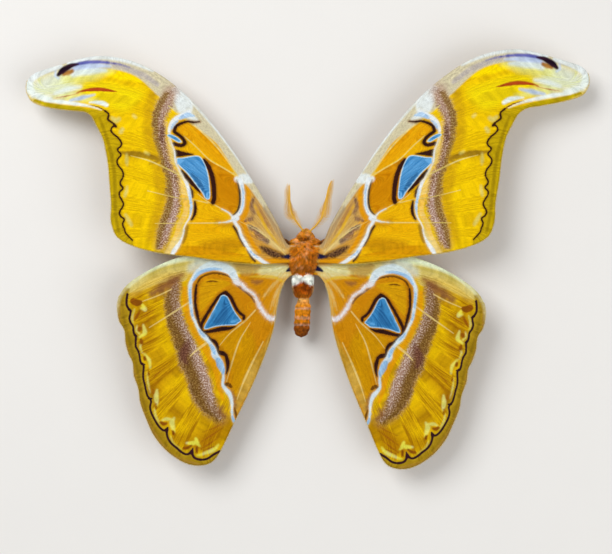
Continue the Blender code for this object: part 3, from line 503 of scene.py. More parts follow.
fore("blue tint", "#A8CCEC", "#8CB8E4", 0.4, [brush((0.3, 1, 0.6), 40.6, 53, 43, 53.4, 45.6, 52.2),
    brush((0.3, 0.6, 0.4), 46.6, 51.2, 48.2, 49.8, 48.9, 48.2), brush((0.2, 0.45, 0.5, 0.3), 42.1, 25.8,
    41.4, 21.4, 41.2, 18.6, 41.5, 16.4), brush((0.15, 0.3, 0.3, 0.15), 23, 27.4, 22.4, 24, 22.5, 20,
    23.6, 17), brush((0.3, 0.4), 17, 0.6, 19.6, 2.8)], strength=0.75)
fore("window edges", "#A8D0E4", "#C8E0E4", 0.35, [patch(*BIG_WINDOW), patch(*SMALL_WINDOW)], ragged=0.08)
fore("window blue", "#2E76B2", "#5A9ED4", 0.45, [("inset", BIG_WINDOW, 0.32), ("inset", SMALL_WINDOW, 0.24)],
    ragged=0.08)
fore("window shade", "#1F5284", "#2A6090", 0.8, [brush((0.4, 0.9, 0.8, 0.3), 41.6, 31.6, 39.4, 29.4,
    37.6, 26.6, 36.2, 24.6)], strength=0.7)
fore("window light", "#7CBCEC", "#66A8E0", 0.4, [brush((0.1, 0.16, 0.1), 38.6, 33.4, 41.4, 34.8, 44.4, 36.6),
    brush((0.1, 0.16, 0.1), 39.2, 32.2, 42, 33.4, 44.6, 34.8), brush((0.06, 0.14, 0.06), 36.4, 26.8,
    38.6, 29.6, 41, 31.6), brush((0.06, 0.14, 0.06), 37.4, 35.6, 39.6, 36.4, 42.4, 37.2),
    brush((0.3, 0.9, 0.5), 44.6, 36.6, 45.8, 36.2, 46.6, 35.6), brush((0.2, 0.5), 35.6, 24.4, 35.4, 22.8)],
    strength=0.7)
fore("pale blue", "#A4BCEA", "#BCD0F2", 1.2, [brush((0.3, 1, 1.2, 0.6), 74, 73.9, 80, 74.2, 85.6, 73.9,
    89.2, 72.6), brush((0.4, 0.9, 0.6), 79.6, 62.9, 83.5, 62.2, 89, 61.2), brush((0.4, 0.5, 0.3), 94.8, 72.4,
    94.9, 70.8, 93.6, 69.8)], strength=0.8)
fore("violet streak", "#34348E", "#4A50B0", 0.9, [brush((0.15, 0.3, 0.5, 0.6, 0.7, 0.6), 67, 73.4,
    70.6, 74.5, 75, 75.2, 80, 75.6, 85, 75.3, 88.6, 74.5)], strength=0.9)
fore("ochre spot", "#B88440", "#9A6830", 1, [brush((0.8, 1, 0.8), 88.6, 72.4, 90.2, 71.8, 91.8, 71.4)])
fore("dark blotch", "#1C0E1E", "#3A1A2A", 0.8, [brush((0.3, 0.7, 1.1, 1.2, 0.8), 86.2, 75, 88.8, 74.5,
    91.2, 73.3, 92.9, 72.1, 93.8, 71.2)])
fore("rust streak", "#B4481C", "#A2400E", 0.7, [brush((0.15, 0.5, 0.75, 0.8, 0.7, 0.5, 0.1), 71, 63.6,
    73, 64.1, 75, 64.6, 78, 65.1, 81, 65.2, 84, 64.9, 86.6, 64.3), brush((0.05, 0.16, 0.05), 86, 64,
    90, 63.2, 94.6, 62.6)])
fore("tip whites", "#ECF2EC", "#DCE8E2", 0.9, [brush((0.7, 0.9, 0.6, 0.3), 73.6, 57.8, 75.5, 58.9, 78, 59.5,
    81, 59.8), brush((0.15, 0.45, 0.7, 0.8, 0.5), 75.4, 56, 80, 57.9, 84, 59, 92, 60.8, 99, 61.8)])
fore("tip brown line", "#8A5A18", "#7A4A14", 0.25, [brush((0.3, 0.22, 0.1), 73.5, 55.2, 75.5, 56.5, 78, 57.7,
    81, 58.6)])
fore("pale smudges", "#D8D080", "#CCC468", 1.2, [brush((0.8, 1, 0.4), 68.4, 51.9, 69.6, 51.4, 71, 52.6),
    brush((0.6, 0.7), 67, 48.2, 67.6, 47.2), brush((0.3, 0.6, 0.3), 65.5, 39, 65.5, 37.2, 65.4, 35),
    brush((0.3, 0.6, 0.4), 65, 27, 65.2, 25, 65.6, 23.4), brush((0.4, 0.7, 0.6), 64.8, 16.6, 63.6, 14.6,
    62.6, 12.8), brush((0.4, 0.5), 57.4, 38.9, 58.6, 39.6), brush((0.5, 0.5), 62.2, 52.6, 62.9, 53.2)],
    strength=0.7)
fore("wavy flank", "#8E6A06", "#A88608", 0.8, "wavy_line", strength=0.55, grow=0.35)
fore("wavy line", "#40200E", "#2E1410", 0.3, [brush((0.36, 0.32, 0.32, 0.3), *WAVY_LINE)], ragged=0.12)
print("forewing layers:", len(LAYERS["forewing"]))

# %% [markdown]
# ## The hindwing's pattern
# The hindwing repeats the plan of the forewing: an arc of white round an orange field with one blue
# window, then the speckled band, a golden field and a wavy dark line. In the bays of that line lie
# brown spots with pale yellow rims.

# %% Hindwing layers
ARC_LINE = pairs([24.5, -9.3, 25.5, -7, 27, -5.3, 30, -4, 33, -3.6, 36, -4.5, 38.5, -6.3, 40, -8.5, 41, -11,
    41, -14, 40.6, -17, 40.2, -20, 39.7, -22.5, 38.5, -25, 37.3, -27.5, 36, -29.3, 34.3, -31, 32.6, -33,
    31.6, -35, 31.1, -36.8, 30, -38, 28.8, -39.5, 28, -41.5, 27.8, -43.5, 27.8, -45.5, 27.9, -47.5, 27, -49,
    25.6, -50.5, 24.7, -52.5, 24.3, -55, 24.2, -57.5, 23.9, -59.5, 23.1, -61.6])
ARC_WIDTHS = (1, 1.5, 1.7, 1.7, 1.2, 0.7, 0.65, 0.5, 0.55, 0.5, 0.45, 0.85, 0.5, 1.2, 0.7, 0.4, 0.45, 0.8,
    0.5, 0.4, 0.4)
ROOT_LINE = pairs([24.4, -9.3, 22.5, -10.3, 21.3, -11.5, 19.7, -12.5, 18, -13.8, 17, -15.5, 16.2, -17.2,
    15.3, -18.8, 14, -20.5, 12.6, -21.8, 11.2, -22.4, 9.4, -22.3])
HIND_BAND = pairs([46.2, -10.5, 46.4, -13, 47, -15, 47.2, -17.5, 46.9, -20, 46.4, -22.5, 45.6, -25,
    44.6, -27.5, 43.3, -30, 42.3, -32.5, 41.3, -35, 40.5, -37.5, 39.7, -40, 38.3, -42.5, 37.2, -45,
    36.3, -47.5, 35.8, -50, 34.6, -52.5, 33.2, -55, 31, -57.5, 28.4, -60])
HIND_WAVY = pairs([63.4, -15.5, 63.6, -17.5, 63.5, -19.5, 62.8, -20.8, 62, -21.6, 62.1, -23, 62.3, -24.5,
    61.8, -26, 60.9, -27.3, 60.7, -28.8, 60.4, -30, 59.8, -30.7, 59.7, -31.8, 59.7, -33.5, 59.6, -34.8,
    58.7, -36.3, 58.2, -37.8, 57.9, -39.5, 57.5, -40.8, 56.6, -41.4, 56.5, -42.5, 56.6, -44.5, 56.5, -46.5,
    55.9, -48.7, 55.4, -51, 54.7, -53, 53.8, -54, 53.4, -55, 53.7, -57, 53.2, -59, 52.2, -61, 51, -63,
    49.6, -64.7, 48.2, -65.5, 47.1, -64.8, 47.3, -66.3, 46.8, -68.3, 45.5, -70.2, 43.5, -71.8, 41.8, -73.2,
    40.2, -74, 38.8, -73.6, 37.9, -72.3, 37.8, -73.8, 37, -75.2, 35, -75.8, 33, -75.6, 31.5, -74.8,
    30.3, -73.8, 28, -72.4])
TRIANGLE = pairs([28.8, -14.2, 29.8, -14.6, 30.6, -16.3, 32, -19.2, 33.6, -22.6, 35.3, -26.2, 35.6, -27.3,
    34.8, -27.4, 32, -26.4, 29.3, -25.8, 26.5, -25.5, 24.2, -25.3, 22.8, -24.2, 21.9, -23.6, 22.9, -22.6,
    24.3, -20.8, 25.6, -18.6, 26.6, -16.5, 27.6, -14.8])

hind("root field", "#CF8C0C", "#BE7E08", 0.9, [zone(ROOT_LINE, -10, -30, -10, 10, 20, -2)])
hind("inside the arc", "#C8880C", "#BE7C06", 0.6, [zone(ARC_LINE, 18, -66, 0, -30, *ROOT_LINE[::-1])])
hind("gold below the window", "#C89004", "#B88004", 2.4, [patch(20, -26, 27, -28, 31, -31, 27, -36, 25, -44,
    24, -52, 20, -48, 16, -36)])
hind("arc top gold", "#D29C08", "#BE8808", 0.9, [patch(26.5, -10, 33, -8.6, 37, -10, 37.6, -15, 36.9, -21,
    34.4, -18, 30.6, -12.8)])
hind("left of the window", "#BE7604", "#C98A0A", 1.2, [brush((1.2, 1.8, 2, 1.2), 23.6, -12.4, 21.4, -15.6,
    19.6, -18.4, 19.4, -21)])
hind("inner margin", "#CCA648", "#B08828", 2.2, [brush((0.4, 1, 1.7, 1.9, 1.5, 0.8), 10.4, -27, 13, -33,
    16.4, -41, 19.4, -48, 22, -54, 23, -57.6)], strength=0.85)
hind("outer field", "#E2B804", "#B88A04", 0.5, [zone(ARC_LINE, 10, -90, 80, -90, 90, 10, 20, 0)])
hind("outer orange", "#B28004", "#9C6A02", 4, [brush((2, 3, 3), 60, -14, 57, -24, 56, -34),
    brush((1, 3.4, 3, 1), 46, -38, 50, -44, 53, -50, 51, -56), brush((2, 4, 3.6), 44, -68, 34, -69,
    27, -64)], strength=0.8)
hind("outer streaks", "#D6A408", "#8C5406", 5, [brush((1, 3, 4, 4, 3), 53, -16, 55, -27, 52, -40, 46, -54,
    36, -64)], strength=0.5, ragged=1)
hind("bottom ochre", "#AE7404", "#9C6204", 2.4, [brush((0.6, 1.6, 1.8, 1), 28, -62, 31, -66, 34, -69.4,
    38, -72)], strength=0.6)
hind("yellow strip", "#DE9E08", "#D29008", 0.7, [brush((0.8, 1, 1, 0.9, 1.2, 1, 1, 0.6), 43, -12.4,
    42.8, -16, 42, -20, 40.6, -24.6, 38, -30, 34, -35.6, 30.4, -43, 29, -48.6, 27.6, -53)])
hind("front field", "#D6C474", "#C2AE56", 1, [patch(12, -4.6, 24, -6.4, 25, -9.4, 28, -4, 40, -4, 43, -9.6,
    52, -11, 60, -14.4, 66, -15, 60, -6, 44, 2, 30, 6, 10, 4)])
hind("front amber", "#DEBC50", "#CEA83C", 3.2, [brush((0.8, 1.4, 1.2, 0.5), 42, -7.6, 50, -8.8, 57, -12,
    62, -15.6)], strength=0.8)
hind("front rim", "#DEE8C8", "#D0DAAC", 1.6, [brush((1.6, 2.2, 1.6, 1, 0.8, 0.5), 30, 1.6, 38, 0.4, 45, -1.2,
    53, -4.6, 60.4, -9.4, 64.6, -14)])
hind("front shade", "#C2B25A", "#AE9C40", 0.6, [brush((0.3, 0.6, 0.5, 0.2), 36, -2.2, 44, -3.6, 52, -6,
    59, -10)], strength=0.7)
hind("root cream", "#DCDAA8", "#CCBC70", 2.4, [brush((1, 2, 2, 1), 4.6, -3.4, 8.4, -4, 13, -3.9, 18, -3.4),
    brush((0.8, 1, 0.5), 6.2, -5.8, 10, -6.2, 16, -5.8)], ragged=0.4)
hind("root hair", "#E8D894", "#D8B050", 0.9, [brush((0.5, 0.7, 0.5, 0.2), 5.4, -5.4, 8, -10, 9.8, -16,
    11.2, -24), brush((0.5, 0.6, 0.2), 6.4, -5, 11, -9.6, 14.6, -14.6), brush((0.4, 0.4, 0.2), 6, -6.4,
    9.6, -12, 12, -19)], strength=0.6, ragged=0.9)
hind("root yellow", "#E0BE3C", "#D0A828", 0.8, [brush((0.3, 0.6, 0.5, 0.2), 7.8, -8.4, 11, -7, 16, -6.9,
    20, -7.2)], strength=0.8)
hind("ochre shade", "#B8944A", "#9C7A3C", 1.2, [brush((1, 2.2, 1.6), 17, -3.6, 21.5, -4.6, 24.4, -3)],
    choice="Speckle", strength=0.75, ragged=0.7)
hind("band haze", "#A4761E", "#B08434", 2.6, [brush((2, 2.4, 3, 3.2, 3.6, 4.2, 4, 3), *HIND_BAND)],
    strength=0.65)
hind("speckled band", "#7A5632", "#B49A84", 2, [brush((1.6, 1.9, 2.5, 2.7, 2.7, 2.9, 3, 3.1, 3.4, 3.6, 3.9,
    4, 3.9, 3.8, 3.8, 4, 3.8, 3.4, 2.9, 2.2, 1.2), *HIND_BAND)], choice="Speckle", ragged=0.9)
hind("band inner half", "#94705C", "#D2BEB2", 1.6, [brush((0.2, 0.3, 0.5, 0.8, 1.3, 1.5, 1.2, 0.5),
    44.8, -18, 43.8, -23, 42, -28, 39, -33.6, 36.8, -39.4, 34.4, -45, 32.4, -50.4, 31.6, -54.6)],
    choice="Speckle", ragged=0.9)
hind("band outer half", "#684618", "#8C6A28", 1.2, [brush((0.8, 1.4, 1.8, 1.9, 1.8, 1.5, 0.6),
    *beside(HIND_BAND[2:], 1.5))], choice="Speckle", strength=0.9, ragged=1)
hind("band wine", "#56302A", "#7E5044", 1.8, [brush((0.8, 1.8, 1.6, 0.8), 41, -32.6, 42, -35.4, 42.4, -38,
    41.6, -40)], choice="Speckle", strength=0.8, ragged=0.8)
hind("front brown", "#8E5E34", "#7A4C2A", 3.2, [brush((0.8, 1.8, 2, 1.2), 44.2, -7.6, 47, -9.6, 50, -12,
    54.6, -15)], strength=0.95, ragged=0.8)
hind("soft brown", "#8E5C34", "#784A2C", 1.6, [brush((0.4, 0.9, 0.6), 15.4, -8.6, 17, -9.2, 18.6, -9),
    brush((0.3, 0.7, 0.5), 27.4, -55.6, 28.6, -57.4, 27, -59.4), brush((0.4, 0.7, 0.5), 24.6, -49.8,
    23.8, -53, 23, -56.4)], strength=0.8, ragged=0.5)
hind("brown rays", "#9A5A10", "#8A4C0C", 0.35, [brush((0.1, 0.3, 0.1), 26.4, -61.4, 30, -63.6, 34.6, -65.6),
    brush((0.1, 0.35, 0.1), 27, -63.4, 31, -66.4, 35.4, -69.6), brush((0.1, 0.4, 0.15), 28.4, -67,
    31.6, -69.6, 35, -72), brush((0.1, 0.4, 0.1), 29.4, -70.4, 32, -71.6, 34.4, -72.4),
    brush((0.1, 0.3, 0.1), 49, -42, 53, -46, 54.4, -48), brush((0.1, 0.3, 0.1), 52, -20, 56.6, -23,
    60, -25.6)], strength=0.7)
hind("border", "#92740E", "#A48216", 0.7, [zone([62.6, -13.4, *HIND_WAVY, 26.4, -71], 20, -90, 80, -90,
    80, -10)])
hind("border rim", "#A88238", "#9A7226", 0.8, [brush((0.5, 0.5, 0.5, 0.5, 0.6, 0.4), 66.6, -17, 65.6, -26.6,
    60.4, -42.6, 56.8, -57, 46.4, -73.6, 35, -77.8)], strength=0.75)
hind("rim fade", "#DCD8A4", "#CCC080", 2, [brush((0.9, 0.9, 0.7, 0.3), 59.6, -8.8, 64, -12.8, 66.6, -17,
    67, -23)], strength=0.8)
hind("border streak", "#7C6010", "#8E7014", 0.7, [brush((0.3, 0.5, 0.45, 0.45, 0.5, 0.4, 0.2), 65.2, -19,
    64, -26, 61.6, -34, 58.8, -43, 57, -52, 53.4, -62.4, 47, -71.4)], strength=0.7)
hind("pale scallops", "#DED848", "#D0C878", 0.8, [brush((0.4, 0.7, 0.4), 58.2, -20.4, 56.8, -21, 58, -19),
    brush((0.2, 0.45, 0.2), 60.6, -21, 61.4, -23.8, 60.9, -26.4), brush((0.3, 0.8, 0.4), 57.2, -26.6,
    56.6, -29.6, 58.4, -31.2), brush((0.2, 0.5, 0.3), 59.4, -27, 59.6, -28.6, 58.4, -30),
    brush((0.3, 0.6, 0.3), 56.4, -37.4, 54.6, -39.6, 54.2, -42.4), brush((0.2, 0.4, 0.2), 57.6, -33, 58, -35,
    57.2, -37), brush((0.3, 0.8, 0.8, 0.3), 51.4, -50.4, 51.6, -53, 51.2, -56.2), brush((0.1, 0.35, 0.1),
    55.2, -44, 54.8, -48, 53.8, -51.6), brush((0.3, 0.9, 0.8, 0.3), 44.8, -60.6, 45.6, -62.4, 44.6, -66),
    brush((0.3, 0.6, 0.3), 45.6, -61.2, 48, -61.2, 49.2, -61.8), brush((0.2, 0.5, 0.3), 52, -57.4,
    51.6, -60.4, 50, -63), brush((0.4, 0.8, 0.4), 36.4, -68.4, 37.2, -69.6, 40, -69.8),
    brush((0.2, 0.7, 0.5), 35.2, -70.8, 36, -70, 36.8, -68), brush((0.3, 0.8, 0.5, 0.3), 28.6, -70,
    30, -71.8, 33, -73.2, 36, -74.4), brush((0.2, 0.4, 0.2), 42, -72.2, 44.8, -70.2, 46, -67.4)])
hind("brown spots", "#7C4608", "#945408", 0.7, [brush((1, 1.3, 1.2), 58.8, -18.4, 60, -18.6, 61.2, -18),
    brush((0.3, 0.6, 0.3), 58.6, -21.6, 59.6, -23.4, 60.5, -25.2), brush((0.8, 0.8), 58.4, -28, 58.6, -28.5),
    brush((0.4, 0.7), 57.8, -32, 57.6, -33.2), brush((0.5, 0.6), 56.3, -38.6, 56.2, -39.4), brush((0.2, 0.4),
    54.8, -43.4, 54.6, -45), brush((0.3, 0.5), 53, -50.4, 52.7, -51.6), brush((0.2, 0.4), 51.6, -55.6,
    51.6, -57.4), brush((0.6, 0.8, 0.4), 47.6, -62.8, 48.6, -63, 49.8, -62.4), brush((0.5, 0.6), 45.2, -65.6,
    44.8, -66.6), brush((0.3, 0.7, 0.5), 38.2, -70.6, 39.4, -71.4, 41, -71.8), brush((0.5, 0.6), 36.3, -71.4,
    36.3, -73)])
hind("pale veins", "#E6CE84", "#DCC070", 0.22, [brush((0.3, 0.3, 0.15), 40.6, -17.2, 46.5, -21.5, 55, -27.5),
    brush((0.5, 0.4, 0.2), 34.6, -32.6, 37.6, -35, 40, -37.5), brush((0.2, 0.26, 0.1), 47.6, -13, 52, -15.4,
    58, -18), brush((0.26, 0.3, 0.2, 0.1), 17.2, -19.4, 21, -23.8, 26, -28.4, 30, -33.6),
    brush((0.1, 0.26, 0.3, 0.1), 18.8, -24, 22.4, -30.8, 24.8, -39, 26.6, -46.4),
    brush((0.2, 0.35, 0.35, 0.1), 14, -31, 17.6, -39, 20.6, -46.6, 22.6, -53)], strength=0.7, ragged=0.1)
hind("arc shade", "#7C4E0C", "#603808", 0.4, [brush((0.2, 0.4, 0.4, 0.4, 0.3), 26, -8, 28.5, -6.9, 31, -6.4,
    33, -6.4, 35.5, -7.2, 37.5, -8.6, 38.5, -10.3), brush((0.1, 0.3, 0.3, 0.1), 31, -9.6, 33.4, -9.4,
    35.6, -9.9), brush((0.2, 0.4, 0.4, 0.3), 24.4, -10.6, 22.5, -11.8, 20.5, -13.3, 18.8, -14.8,
    17.7, -16.5), brush((0.5, 0.8, 0.6), 24.8, -48.3, 26, -47.3, 27, -47.6), brush((0.3, 0.5, 0.3),
    23.4, -56, 22.8, -58, 22.6, -59.6)])
hind("dark flank", "#7A4406", "#8A540A", 0.9, "dark_edges", strength=0.6, grow=0.4)
hind("dark edges", "#281210", "#361812", 0.4, [brush((0.3, 0.5, 0.5, 0.6, 0.5, 0.4, 0.5, 0.7, 0.5),
    38.7, -10.8, 38.9, -12.5, 39, -15, 39, -17, 38.8, -19, 38.3, -21, 37.9, -22.7, 37.5, -24.5, 36.7, -26.5,
    35.8, -28.3, 34.5, -29.5, 33, -31, 31.5, -31.7, 30.5, -33.2, 30.2, -34.8), brush((0.7, 0.9, 0.5),
    30.2, -35.6, 28.4, -36, 27, -36.6), brush((0.6, 0.7, 0.55, 0.25), 27, -37, 26.5, -39, 26.4, -41.5,
    26.8, -43.4), brush((0.7, 0.6, 0.55, 0.55, 0.5), 28.2, -13.4, 26.5, -14.9, 25.2, -17.2, 24, -19.4,
    22.6, -21, 21.3, -21.9, 21.4, -22.9), brush((0.6, 0.5, 0.55, 0.6, 0.5), 28.6, -13.5, 30.5, -14.9,
    32.2, -17.5, 33.8, -20.3, 35.2, -23, 36.3, -25.3, 36.4, -27.2), brush((0.2, 0.75, 0.8, 0.6, 0.5),
    24.4, -25.9, 26.5, -26.6, 29, -26.9, 31.5, -27.6, 33.5, -28.1, 35.5, -28.3)])
hind("arc flank", "#DCCC9C", "#CCB884", 1.3, "arc", strength=0.3, ragged=0.5, grow=0.3)
hind("arc", "#DCE6E8", "#C4D6E0", 0.6, [brush(ARC_WIDTHS, *ARC_LINE)], ragged=0.3)
hind("arc front", "#C2D6DE", "#CCDCD0", 3, [brush((0.8, 1.8, 2.2, 1.6), 26.6, -4.6, 31, -3, 36.6, -2.6,
    40.6, -5)], strength=0.6)
hind("root line flank", "#D8C4A4", "#CCB08C", 1.6, "root_line", strength=0.4, ragged=0.8, grow=0.4)
hind("root line", "#ECE8E8", "#D4D0D6", 0.5, [brush((0.9, 0.7, 0.5, 0.45, 0.5, 0.75, 0.6, 0.8, 0.8),
    *ROOT_LINE)], ragged=0.8)
hind("arc blue", "#90BEE4", "#78AAD8", 0.6, [brush((0.3, 0.6, 0.7, 0.5), 30, -4.9, 34, -5, 38, -6.6,
    40, -9.2), brush((0.4, 0.5, 0.35), 41, -12.6, 40.9, -15, 40.6, -18), brush((0.3, 0.4, 0.2), 40.4, -19.6,
    40.1, -21.4, 39.6, -22.8), brush((0.3, 0.5, 0.3), 37.2, -27.6, 36.2, -28.8, 35, -30.2),
    brush((0.5, 0.8, 0.5), 32.8, -33.2, 31.9, -34.6, 31.3, -36.2), brush((0.9, 1.3, 1, 0.4), 29.9, -38.5,
    29.2, -40, 28.4, -41.8, 27.9, -43.6), brush((0.3, 0.4), 23.9, -59, 23.4, -61.2)], strength=0.8)
hind("window edges", "#90BEDC", "#B0D4E4", 0.3, [patch(*TRIANGLE)], ragged=0.1)
hind("window blue", "#24669E", "#3A84BC", 0.5, [("inset", TRIANGLE, 0.3)], ragged=0.08)
hind("window shade", "#1C4E80", "#265E92", 1.2, [brush((0.4, 1.2, 1.5, 0.8), 28.6, -17.4, 28.4, -20.4,
    29.2, -23, 31.4, -24.6)], strength=0.6)
hind("window light", "#5098D0", "#64A8DC", 0.6, [brush((0.3, 0.5, 0.3), 23.4, -23.4, 24.6, -23.8, 26, -24.4),
    brush((0.2, 0.35, 0.2), 31.6, -19.8, 33.2, -23, 34.8, -26.4)], strength=0.7)
hind("root spot", "#141428", "#20204A", 0.4, [brush((0.8, 1, 0.8, 0.4), 3, -3.1, 4.6, -3.5, 5.8, -4,
    6.6, -4.5)], ragged=0.3)
hind("wavy flank", "#A88A10", "#B89A20", 1, "wavy_line", strength=0.6, grow=0.5)
hind("wavy line", "#381820", "#2A1218", 0.35, [brush((0.45, 0.4, 0.38, 0.4, 0.42, 0.45, 0.45), *HIND_WAVY)],
    ragged=0.08)
hind("wavy spurs", "#381820", "#2A1218", 0.25, [brush((0.5, 0.3), 62.6, -21.2, 61.6, -21.8),
    brush((0.5, 0.3), 60.2, -30.5, 59.4, -30.9), brush((0.5, 0.3), 57.2, -41, 56.1, -41.3),
    brush((0.5, 0.35), 54.2, -53.8, 53.2, -53.9), brush((0.5, 0.3), 47.8, -65.3, 46.9, -64.2),
    brush((0.5, 0.35), 37.9, -73.4, 37.7, -71.6)], ragged=0.08)
print("hindwing layers:", len(LAYERS["hindwing"]))

# %% [markdown]
# ## One flat mesh for each kind of wing
# The flat wing is filled with an even net of points. Points also run along every vein and every
# thin painted line, so that ridges and lines have corners of the mesh to follow. A constrained
# Delaunay triangulation joins them all. A plain grid would make thin lines look like stairs.

# %% Triangulated plans
RIM_STEP = 0.7
NET_STEP = 0.56
NET_CLEARANCE = 0.30
MEMBRANE = 0.2
FRINGE_INSET = 0.28
VEIN_HALF_WIDTH = (0.36, 0.2)
VEIN_RISE = (0.24, 0.07)
VEIN_REACH = 110.0
SAG = 0.09
NET_EDGE_CLEARANCE = 0.6 * NET_STEP
LONGEST_LINK = 3 * NET_STEP
FAR = 99.0
FINE_LAYERS = ("white_lines", "wavy_line", "rust_streak", "pale_veins", "arc", "root_line", "tip_brown_line",
    "dark_edges", "arc_shade")


def distance_to(xy, line, reach=1e9):
    """Distance from each point to a line whose rows are x, y and, for a stroke, its half width."""
    best = np.full(len(xy), FAR)
    if line.shape[1] == 2:
        line = np.column_stack([line, np.zeros(len(line))])
    low, high = line[:, :2].min(0) - reach, line[:, :2].max(0) + reach
    near = np.where(((xy > low) & (xy < high)).all(1))[0]
    p = xy[near]
    found = np.full(len(near), FAR)
    for a, b in zip(line[:-1], line[1:]):
        d = b - a
        t = np.clip(((p - a[:2]) @ d[:2]) / max(d[:2] @ d[:2], 1e-12), 0, 1)
        away = np.hypot(p[:, 0] - a[0] - t * d[0], p[:, 1] - a[1] - t * d[1]) - a[2] - t * d[2]
        np.minimum(found, away, out=found)
    best[near] = found
    return best


def inside(xy, ring):
    """True for the points inside a closed ring."""
    found = np.zeros(len(xy), bool)
    for a, b in zip(ring, np.roll(ring, -1, axis=0)):
        if a[1] != b[1]:
            crossing = (b[0] - a[0]) * (xy[:, 1] - a[1]) / (b[1] - a[1]) + a[0]
            found ^= ((a[1] > xy[:, 1]) != (b[1] > xy[:, 1])) & (xy[:, 0] < crossing)
    return found


def closed(ring):
    return np.concatenate([ring, ring[:1]])


def flat_wing(kind):
    """The triangulated plan of a right wing: points, triangles, rim and what is measured on it."""
    rim = smooth_line(pairs(RIMS[kind]), RIM_STEP, closed=True)
    along = unit(np.roll(rim, -1, axis=0) - np.roll(rim, 1, axis=0))
    middle = rim.mean(0)
    outward = np.column_stack([along[:, 1], -along[:, 0]])
    outward *= np.sign(((rim - middle) * outward).sum(1).mean())
    inner = rim - outward * FRINGE_INSET
    veins = [smooth_line(pairs(line), NET_STEP) for line in VEINS[kind]]
    lines = []
    for vein in veins:
        half = np.interp(np.linalg.norm(vein, axis=1), (0, VEIN_REACH), VEIN_HALF_WIDTH)
        turn = unit(np.gradient(vein, axis=0))
        across = np.column_stack([-turn[:, 1], turn[:, 0]]) * half[:, None]
        lines += [vein - across, vein, vein + across]
    for painted in LAYERS[kind]:
        if painted["name"] in FINE_LAYERS and not isinstance(painted["marks"], str):
            lines += [mark[1][:, :2] for mark in painted["marks"]]
    low, high = inner.min(0), inner.max(0)
    rows = np.arange(low[1], high[1], NET_STEP * math.sqrt(0.75))
    columns = np.arange(low[0], high[0], NET_STEP)
    net = np.concatenate([np.column_stack([columns + (row % 2) * NET_STEP / 2, np.full(len(columns), y)])
                          for row, y in enumerate(rows)])
    net = net[inside(net, inner)]
    net = net[distance_to(net, closed(inner)) > NET_EDGE_CLEARANCE]
    for line in lines:
        net = net[distance_to(net, line, NET_STEP) > NET_CLEARANCE]
    points = [Vector(p) for p in inner]
    edges = [(i, (i + 1) % len(inner)) for i in range(len(inner))]
    for line in lines:
        first = len(points)
        line = line[inside(line, inner)]
        points += [Vector(p) for p in line]
        edges += [(first + i, first + i + 1) for i in range(len(line) - 1)
                  if np.linalg.norm(line[i + 1] - line[i]) < LONGEST_LINK]
    points += [Vector(p) for p in net]
    found, _, faces, *_ = delaunay_2d_cdt(points, edges, [list(range(len(inner)))], 1, 1e-5)
    xy = np.array([tuple(p) for p in found])
    used = np.unique(np.concatenate([np.array(f) for f in faces]))
    renumber = np.full(len(xy), -1)
    renumber[used] = np.arange(len(used))
    xy = xy[used]
    faces = [[int(renumber[i]) for i in f] for f in faces]
    return {"kind": kind, "xy": xy, "faces": faces, "rim": rim, "inner": inner, "outward": outward,
            "veins": veins}


PLANS = {kind: flat_wing(kind) for kind in RIMS}
print("plan triangles:", {kind: len(plan["faces"]) for kind, plan in PLANS.items()})

# %% [markdown]
# ## Measuring the paint
# Every point of the plan gets its distance to each layer's edge, which is negative inside. It also
# gets a lane, which counts the veins from front to back and runs smoothly between them. Anything
# drawn in lanes then follows the veins, as the rows of real scales do.

# %% Distances, lanes and relief
LAYER_REACH = 9.0
RING_REACH = 60.0
LANE_SOFTNESS = 0.15
RIM_CALM = 1.2
SAG_WIDTH = 3.0
SAG_FROM, SAG_FADE = 12, 10


def mark_distance(xy, mark):
    """Distance from each point to the edge of one mark, negative inside it."""
    form, line = mark[0], mark[1]
    if form == "stroke":
        return distance_to(xy, line, LAYER_REACH)
    ring = smooth_line(line, 2 * STROKE_STEP, closed=True) if form == "inset" else line
    away = distance_to(xy, closed(ring), RING_REACH)
    away[inside(xy, ring)] *= -1
    return away + (mark[2] if form == "inset" else 0.0)


def measure(plan):
    """Adds the layers' distances, the lanes and the relief to a plan."""
    xy, kind = plan["xy"], plan["kind"]
    plan["inks"] = {
        painted["name"]: np.clip(np.min([mark_distance(xy, m) for m in painted["marks"]], axis=0),
                                 -LAYER_REACH, LAYER_REACH)
        for painted in LAYERS[kind] if not isinstance(painted["marks"], str)
    }
    away = np.array([distance_to(xy, vein) for vein in plan["veins"]])
    weight = 1 / (away + LANE_SOFTNESS) ** 3
    plan["lane"] = (weight * np.arange(len(away))[:, None]).sum(0) / weight.sum(0)
    reach = np.linalg.norm(xy, axis=1)
    half = np.interp(reach, (0, VEIN_REACH), VEIN_HALF_WIDTH)
    rise = np.interp(reach, (0, VEIN_REACH), VEIN_RISE)
    plan["edge"] = distance_to(xy, closed(plan["inner"]))
    calm = ease(plan["edge"] / RIM_CALM)
    plan["ridge"] = rise * np.maximum(0, 1 - (away.min(0) / half) ** 2) * calm
    hollow = np.minimum(1.0, away.min(0) / SAG_WIDTH)
    plan["sag"] = -SAG * ease(hollow) * calm * ease((reach - SAG_FROM) / SAG_FADE)


for plan in PLANS.values():
    measure(plan)
print("layers measured:", {kind: len(plan["inks"]) for kind, plan in PLANS.items()})

# %% [markdown]
# ## What a covering of scales looks like
# The scales lie in rows like roof tiles and give a wing its dull, velvety look. From the distances
# of the plan a small shader group finds how much of a layer's colour shows. A second group makes
# the fine grain of single scales and the streaks that run along the veins. Groups are used because
# more than a hundred layers share them.

# %% Shader groups for ink and scales
GROUPS = {}


